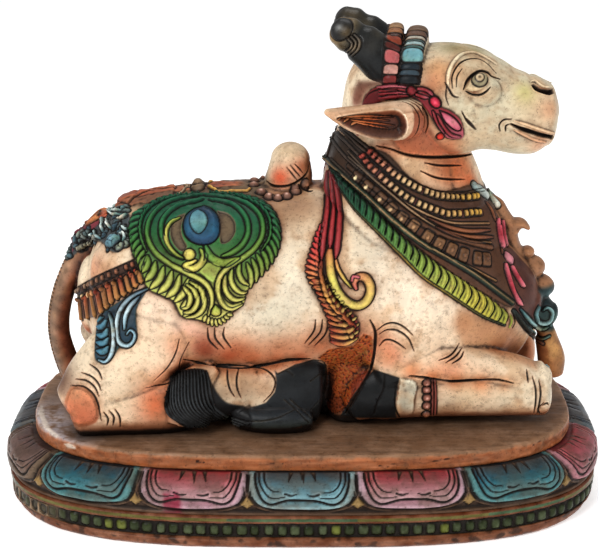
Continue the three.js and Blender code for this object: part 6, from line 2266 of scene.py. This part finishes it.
def seat_board(tree):
    """The seat: a board with a rounded edge, nicked and rubbed, with the bull's shadow painted on its top. tree is
    the bull that sits on it.
    """
    top, base, edge = SEAT_TOP_Z, SEAT_LOW_Z, SEAT_EDGE
    profile = [(edge + inset, top + rise) for inset, rise in SEAT_PROFILE]
    profile += [(edge + 2, base), (edge + 30, base - 0.2)]
    rows, _ = fine_profile(profile, SEAT_STEP)
    stations = columns(SEAT_COARSER)
    grid = rings(rows, stations) * (1, (SEAT_WIDTH / 2) / (PLINTH_WIDTH / 2 - edge), 1)
    normals, _, signed = laid_out(grid, stations)
    z = grid[..., 2]
    on_top = z > top - 0.6
    rim = ~on_top & (rows[:, :1] < edge + 2.5)
    grain = bumps(grid * (0.09, 1, 1), 1.3)
    mottle, fine = bumps(grid + 30, 8), bumps(grid + 60, 2.2)
    height = 0.35 * bumps(grid, 16) + 0.18 * bumps(grid, 5) + 0.1 * grain
    colour = tinted((122, 92, 70), (12, mottle), (9, fine), (8, grain))
    worn = smoothstep(-118, -160, grid[..., 0]) * smoothstep(edge + 26, edge + 14, rows[:, :1])
    worn = worn * smoothstep(20, -40, grid[..., 1]) * smoothstep(-0.9, 0.2, mottle + 0.6 * fine)
    colour = over(colour, tinted((152, 142, 144), (18, fine)), worn)
    worn = np.array((12, 6, 2)) * smoothstep(0, 1, -fine)[..., None]
    wood = tinted((146, 84, 50), (18, grain), (12, mottle)) - worn
    # Painted shadow of the bull on the seat's top, darkest where the bull is nearest.
    gap = np.array([tree.find_nearest(Vector(q))[3] for q in grid.reshape(-1, 3)]).reshape(z.shape)
    colour = over(colour, (30, 22, 17), 0.6 * on_top * np.exp(-((gap / 5.0) ** 1.3)))
    share = np.where(on_top, 0, smoothstep(top - 0.6, top - 3.2, z))
    colour = over(colour, wood, np.clip(share + 0.35 * (mottle + fine) * (share > 0), 0, 1))
    colour = over(colour, (62, 38, 26), 0.7 * smoothstep(top - 9.2, top - 10.8, z) * rim)
    random = np.random.default_rng(3)
    for _ in range(SCRATCH_COUNT):
        place, level = random.uniform(-OUTLINE / 2, OUTLINE / 2), random.uniform(top - 9, top - 2)
        length, slope = random.uniform(5, 18), random.uniform(-0.2, 0.35)
        x = from_station(signed, place)
        away = np.abs(z - level - slope * x) + 8 * np.clip(np.abs(x) - length / 2, 0, None)
        cut = (1 - smoothstep(0.1, 0.8, away)) * rim * smoothstep(-0.3, 0.4, fine)
        height -= 0.5 * cut
        colour = over(colour, (60, 34, 22), 0.6 * cut)
    height *= rows[:, 1:] >= base + 0.01
    grid = grid + normals * height[..., None]
    grid[..., 2] = np.minimum(grid[..., 2], top)
    points, tris = ring_mesh(grid)
    colour = with_caps(colour, HIDDEN_SEAT_WOOD)
    for outline, tone in ((CHIP_PX, (214, 196, 178)), (CHIP_2_PX, (196, 184, 172))):
        colour = over(colour, tone, 0.9 * polygon_cover(pixel_of(points), outline, 0.8) * (points[:, 1] < 0))
    return points, tris, colour


CHIP_PX = [(64, 444), (69, 443), (76, 447), (75, 449), (68, 448)]
CHIP_2_PX = [(38, 412), (42, 404), (44, 414), (50, 428), (60, 436), (56, 438), (44, 428)]


# Making the pieces.


def dirt_and_shade(colour, fine, broad, points, gentle):
    """Dark in the hollows, partly dirt and partly painted shade, with painted shade and a burnt tint over broader
    hollows; paint rubbed lighter on what stands out.
    """
    speck = noise(points, 1.7)
    cloud = noise(points + 500, 9)
    hollow = smoothstep(0.02, 0.32, fine + 0.03 * speck)
    wide = smoothstep(0.05, 0.9, broad)
    dark = 1 - gentle * (0.62 * hollow + 0.25 * wide * (1 - hollow))
    rubbed = 1 + 0.16 * gentle * smoothstep(0.04, 0.25, -fine + 0.03 * speck)
    made = over(colour * (dark * rubbed)[:, None], (90, 44, 24), 0.15 * gentle * wide)
    return np.clip(made * (1 + 0.05 * (cloud + speck))[:, None], 0, 255)


def cavities(points, tris, normals):
    """How far each point lies in a hollow: beside what is next to it, and more broadly."""
    links = links_of(tris, len(points))
    even = spread(points, links, 6)
    fine = ((even - points) * normals).sum(axis=1)
    return fine, ((spread(even, links, 30) - points) * normals).sum(axis=1)


def mesh_of(name, points, tris):
    mesh = bpy.data.meshes.new(name)
    mesh.vertices.add(len(points))
    mesh.vertices.foreach_set("co", points.astype(np.float32).ravel())
    mesh.loops.add(len(tris) * 3)
    mesh.loops.foreach_set("vertex_index", tris.astype(np.int32).ravel())
    mesh.polygons.add(len(tris))
    mesh.polygons.foreach_set("loop_start", np.arange(0, len(tris) * 3, 3, dtype=np.int32))
    mesh.polygons.foreach_set("loop_total", np.full(len(tris), 3, np.int32))
    mesh.polygons.foreach_set("use_smooth", np.ones(len(tris), bool))
    mesh.update(calc_edges=True)
    return mesh


def add_values(mesh, values):
    """Puts named values on a mesh, one for each point."""
    for label, value in values.items():
        mesh.attributes.new(label, "FLOAT", "POINT").data.foreach_set("value", value.astype(np.float32))


def thinned(points, tris, values, most):
    """The same closed skin with fewer triangles, dropped first where it is smooth and evenly painted.

    A point's level says how free it is to go, from FREE_LEVELS where the paint is even down to 2.
    """
    contrast = np.abs(values[:, :3] - neighbour_mean(values[:, :3], links_of(tris, len(points)))).max(axis=1)
    level_of = np.round(FREE_LEVELS - (FREE_LEVELS - 2) * smoothstep(*FREE_CONTRAST, contrast)).astype(int)
    mesh = mesh_of("dense", points, tris)
    names = [f"value_{k}" for k in range(values.shape[1])]
    add_values(mesh, dict(zip(names, values.T)))
    dense = placed("dense", mesh)
    group = dense.vertex_groups.new(name="free")
    for level in range(2, FREE_LEVELS + 1):
        group.add(np.flatnonzero(level_of == level).tolist(), level / FREE_LEVELS, "REPLACE")
    modifier = dense.modifiers.new("thin", "DECIMATE")
    modifier.ratio = most / len(tris)
    modifier.vertex_group = "free"
    modifier.vertex_group_factor = FREE_WEIGHT
    return taken_out(dense, names)


def slabs(points, tris, values):
    """Cuts a closed skin by planes across X into closed slabs with few enough triangles."""
    count = int(np.ceil(len(tris) / PIECE_TRIANGLES))
    middle = np.sort(points[tris].mean(axis=1)[:, 0])
    cuts = [middle[int(len(middle) * k / count)] + CUT_OFFSET for k in range(1, count)]
    made = []
    for low, high in zip([None, *cuts], [*cuts, None]):
        slab = points, tris, values
        if low is not None:
            slab = half(*slab, low, 1)
        if high is not None:
            slab = half(*slab, high, -1)
        made.append(slab)
    return made


def half(points, tris, values, cut, way):
    """What lies on one side of the plane x = cut, closed with a flat cap."""
    side = (points[:, 0] - cut) * way
    side[np.abs(side) < 1e-4] = 1e-4
    above = side > 0
    inside = above[tris].sum(axis=1)
    whole = tris[inside == 3]
    crossing = tris[(inside == 1) | (inside == 2)]
    lone = above[crossing].sum(axis=1) == 1
    first = (above[crossing] == lone[:, None]).argmax(axis=1)
    crossing = np.take_along_axis(crossing, (first[:, None] + np.arange(3)) % 3, axis=1)
    pairs = np.sort(np.vstack([crossing[:, [0, 1]], crossing[:, [0, 2]]]), axis=1)
    unique, inverse = np.unique(pairs, axis=0, return_inverse=True)
    m, n = len(points) + inverse.reshape(2, -1)
    a, b = unique.T
    t = (side[a] / (side[a] - side[b]))[:, None]
    points, values = (np.vstack([v, v[a] + (v[b] - v[a]) * t]) for v in (points, values))
    other = ~lone
    made = [
        whole,
        np.stack([crossing[lone, 0], m[lone], n[lone]], 1),
        np.stack([m[other], crossing[other, 1], crossing[other, 2]], 1),
        np.stack([m[other], crossing[other, 2], n[other]], 1),
    ]
    following = dict(np.vstack([np.stack([m[lone], n[lone]], 1), np.stack([n[other], m[other]], 1)]).tolist())
    loops = []
    while following:
        start, place = following.popitem()
        loop = [start]
        while place != start:
            loop.append(place)
            place = following.pop(place)
        loops.append(loop)
    flat = [i for loop in loops for i in loop]
    caps = tessellate_polygon([[Vector((0, *points[i, 1:])) for i in loop] for loop in loops])
    caps = np.array([[flat[i] for i in face] for face in caps])
    q = points[caps]
    facing = np.cross(q[:, 1] - q[:, 0], q[:, 2] - q[:, 0])[:, 0] * way > 0
    caps[facing] = caps[facing][:, ::-1]
    tris = np.vstack([*made, caps])
    used = np.unique(tris)
    renumber = np.full(len(points), -1)
    renumber[used] = np.arange(len(used))
    return points[used], renumber[tris], values[used]


def make_piece(name, node, points, tris, values, material):
    """A mesh object from points in millimetres; values are paint, gloss, hollow and normal."""
    mesh = mesh_of(name, points * METRES, tris)
    paint = mesh.color_attributes.new("paint", "FLOAT_COLOR", "POINT")
    paint.data.foreach_set(
        "color", np.hstack([linear(values[:, :3]), np.ones((len(points), 1))]).astype(np.float32).ravel()
    )
    add_values(mesh, {"gloss": values[:, 3], "hollow": values[:, 4]})
    mesh.normals_split_custom_set_from_vertices(values[:, 5:8].tolist())
    piece = placed(name, mesh)
    mesh.materials.append(material)
    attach(piece, "root")
    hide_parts(node)
    return piece


def make_pieces(name, node, points, tris, colour, gloss, material, gentle=1.0):
    """Thins a skin and makes one piece of it, or slabs with a number after the name."""
    normals = normals_of(points, tris)
    fine, broad = cavities(points, tris, normals)
    colour = dirt_and_shade(colour, fine, broad, points, gentle)
    values = np.column_stack([colour, gloss, smoothstep(0, 0.4, fine), normals])
    parts = slabs(*thinned(points, tris, values, SKIN_TRIANGLES[name]))
    for k, (p, t, v) in enumerate(parts):
        v[:, 5:8] /= np.maximum(np.linalg.norm(v[:, 5:8], axis=1), 1e-9)[:, None]
        label = name if len(parts) == 1 else f"{name}_{k + 1}"
        make_piece(label, node, p, t, v, material)


class Nodes:
    """Short ways to add and join the nodes of a material."""

    def __init__(self, name):
        self.material = bpy.data.materials.new(name)
        self.material.use_nodes = True
        self.tree = self.material.node_tree
        self.shader = self.tree.nodes["Principled BSDF"]
        self.place = self.add("ShaderNodeTexCoord").outputs["Object"]

    def add(self, kind, **settings):
        node = self.tree.nodes.new(kind)
        for key, value in settings.items():
            setattr(node, key, value)
        return node

    def join(self, start, end):
        self.tree.links.new(start, end)

    def set(self, node, **values):
        """Gives inputs of a node their values. An underscore in a name stands for a space."""
        for key, value in values.items():
            node.inputs[key.replace("_", " ")].default_value = value

    def attribute(self, name, output):
        return self.add("ShaderNodeAttribute", attribute_name=name).outputs[output]

    def noise(self, scale, detail=4.0, roughness=0.6, stretch=None):
        node = self.add("ShaderNodeTexNoise")
        self.set(node, Scale=scale, Detail=detail, Roughness=roughness)
        place = self.place
        if stretch:
            mapping = self.add("ShaderNodeMapping")
            self.set(mapping, Scale=stretch)
            self.join(place, mapping.inputs["Vector"])
            place = mapping.outputs["Vector"]
        self.join(place, node.inputs["Vector"])
        return node.outputs["Fac"]

    def between(self, value, low, high, start=0.0, end=1.0):
        node = self.add("ShaderNodeMapRange", interpolation_type="SMOOTHSTEP")
        self.join(value, node.inputs["Value"])
        self.set(node, From_Min=low, From_Max=high, To_Min=start, To_Max=end)
        return node.outputs["Result"]

    def math(self, operation, a, b):
        node = self.add("ShaderNodeMath", operation=operation)
        for k, value in enumerate((a, b)):
            if isinstance(value, (int, float)):
                node.inputs[k].default_value = value
            else:
                self.join(value, node.inputs[k])
        return node.outputs[0]

    def mix(self, share, a, b, blend="MIX"):
        node = self.add("ShaderNodeMix", data_type="RGBA", blend_type=blend)
        for key, value in ((0, share), (6, a), (7, b)):
            if isinstance(value, (int, float)):
                node.inputs[key].default_value = value
            elif isinstance(value, tuple):
                node.inputs[key].default_value = (*linear(value), 1)
            else:
                self.join(value, node.inputs[key])
        return node.outputs[2]


def painted_material(name, grain=False):
    """Old semi-gloss paint over carved wood: mottled, speckled, with dirt and painted shade in the hollows."""
    nodes = Nodes(name)
    paint = nodes.attribute("paint", "Color")
    hollow = nodes.attribute("hollow", "Fac")
    gloss = nodes.attribute("gloss", "Fac")
    cloud = nodes.noise(70, 5, 0.6)
    fine = nodes.noise(520, 4, 0.7)
    speck = nodes.noise(1100, 2, 0.6)
    blotch = nodes.noise(190, 6, 0.65)
    lighter = nodes.mix(nodes.between(cloud, 0.35, 0.7, 0, 0.12), paint, (255, 244, 224), "SOFT_LIGHT")
    darker = nodes.mix(nodes.between(blotch, 0.50, 0.75, 0, 0.40), lighter, (96, 64, 44), "MULTIPLY")
    bright = nodes.mix(nodes.between(fine, 0.54, 0.72, 0, 0.50), darker, (80, 54, 40), "MULTIPLY")
    dots = nodes.math("MULTIPLY", nodes.between(speck, 0.62, 0.70), nodes.between(blotch, 0.42, 0.58))
    dotted = nodes.mix(nodes.math("MULTIPLY", dots, 0.6), bright, (34, 24, 19))
    # Dirt and painted shade in the hollows: patchy near black.
    hollow_dirt_and_shade = nodes.math("MULTIPLY", hollow, nodes.between(blotch, 0.35, 0.6, 0.35, 0.8))
    colour = nodes.mix(hollow_dirt_and_shade, dotted, (20, 15, 12))
    bump_of = nodes.math("ADD", nodes.math("MULTIPLY", fine, 0.45), nodes.math("MULTIPLY", blotch, 0.8))
    if grain:
        lines = nodes.noise(420, 3, 0.5, stretch=(0.05, 1, 1))
        colour = nodes.mix(nodes.between(lines, 0.5, 0.7, 0, 0.15), colour, (80, 50, 34), "MULTIPLY")
        bump_of = nodes.math("ADD", bump_of, nodes.math("MULTIPLY", lines, 0.7))
    nodes.join(colour, nodes.shader.inputs["Base Color"])
    rough = nodes.between(cloud, 0.3, 0.7, 0.30, 0.48)
    rough = nodes.math("ADD", rough, nodes.math("MULTIPLY", hollow, 0.2))
    rough = nodes.math("SUBTRACT", rough, nodes.math("MULTIPLY", gloss, 0.22))
    nodes.join(rough, nodes.shader.inputs["Roughness"])
    bump = nodes.add("ShaderNodeBump")
    nodes.set(bump, Strength=0.55, Distance=0.00035)
    nodes.join(bump_of, bump.inputs["Height"])
    nodes.join(bump.outputs["Normal"], nodes.shader.inputs["Normal"])
    nodes.set(nodes.shader, Specular_IOR_Level=0.14)
    return nodes.material


bull_paint = painted_material("painted_wood")
plinth_paint = painted_material("painted_plinth_wood", grain=True)

points, tris = one_skin([(in_place(p), f) for p, f in body_parts()], BODY_VOXEL, floor=SEAT_TOP)
body = Surface(smoothed(points, tris, SMOOTHING_ROUNDS), tris, CREAM, flip_body, BODY_GRAIN)
for carve in (
    paint_flesh, carve_cheek, carve_legs, carve_tail, carve_back, carve_chest, carve_rump, carve_medallion,
    carve_far_spine, carve_neck, carve_sash, carve_ribbon,
):
    carve(body)
shade_and_weathering(body, SEAT_TOP)
made = body.carved(0.14)
made[:, 2] = np.maximum(made[:, 2], SEAT_TOP)
make_pieces("bull_body", "bull", made, body.tris, body.colour, body.gloss, bull_paint)

points, tris = one_skin([(turned(in_place(p), HEAD_TURN_DEG), f) for p, f in head_parts()], HEAD_VOXEL)
head = Surface(smoothed(points, tris, SMOOTHING_ROUNDS), tris, FACE_CREAM, flip_head, HEAD_GRAIN)
carve_head(head)
shade_and_weathering(head, None, 0.8)
make_pieces("bull_head", "bull", head.carved(0.12), head.tris, head.colour, head.gloss, bull_paint)

for label, (points, tris, colour) in (
    ("plinth_foot", foot_band()), ("lotus_petals", lotus_ring()), ("seat_board", seat_board(body.tree)),
):
    gloss = np.zeros(len(points))
    make_pieces(label, "lotus_plinth", points, tris, colour, gloss, plinth_paint, PLINTH_DIRT_AND_SHADE)


# Floor, light and camera.


def add_floor():
    mesh = bpy.data.meshes.new("studio_floor")
    corners = [(x * FLOOR_REACH, y * FLOOR_REACH, 0) for x, y in ((-1, -1), (1, -1), (1, 1), (-1, 1))]
    mesh.from_pydata(corners, [], [(0, 1, 2, 3)])
    floor = placed("studio_floor", mesh)
    nodes = Nodes("floor_white")
    tone = nodes.mix(nodes.between(nodes.noise(3, 2), 0.3, 0.7), (250, 250, 250), (254, 254, 254))
    nodes.join(tone, nodes.shader.inputs["Base Color"])
    white = (1, 1, 1, 1)
    nodes.set(nodes.shader, Roughness=0.9, Specular_IOR_Level=0.1, Emission_Color=white, Emission_Strength=0.5)
    mesh.materials.append(nodes.material)


def add_light(name, place, size, power):
    light = bpy.data.lights.new(name, "AREA")
    light.shape = "DISK"
    light.size = size
    light.energy = power
    lamp = placed(name, light)
    lamp.location = place
    lamp.rotation_euler = (Vector(LIGHT_AIM) - Vector(place)).to_track_quat("-Z", "Y").to_euler()


add_floor()
for name, place, size, power in LIGHTS:
    add_light(name, place, size, power)
world = bpy.data.worlds.new("studio")
bpy.context.scene.world = world
world.use_nodes = True
world.node_tree.nodes["Background"].inputs["Color"].default_value = (1, 1, 1, 1)
world.node_tree.nodes["Background"].inputs["Strength"].default_value = WORLD_LIGHT

lens = bpy.data.cameras.new("camera")
lens.sensor_width = SENSOR_WIDTH
lens.lens = FOCAL_PX * SENSOR_WIDTH / IMAGE_WIDTH
lens.shift_x = (IMAGE_WIDTH / 2 - AIM_PX[0]) / IMAGE_WIDTH
lens.shift_y = (AIM_PX[1] - IMAGE_HEIGHT / 2) / IMAGE_WIDTH
lens.clip_start = 0.05
camera = placed("camera", lens)
camera.location = Vector(CAMERA_PLACE * METRES)
camera.rotation_euler = (math.radians(90 - CAMERA_ELEVATION_DEG), 0, 0)
bpy.context.scene.camera = camera
bpy.context.scene.view_settings.view_transform = "Standard"
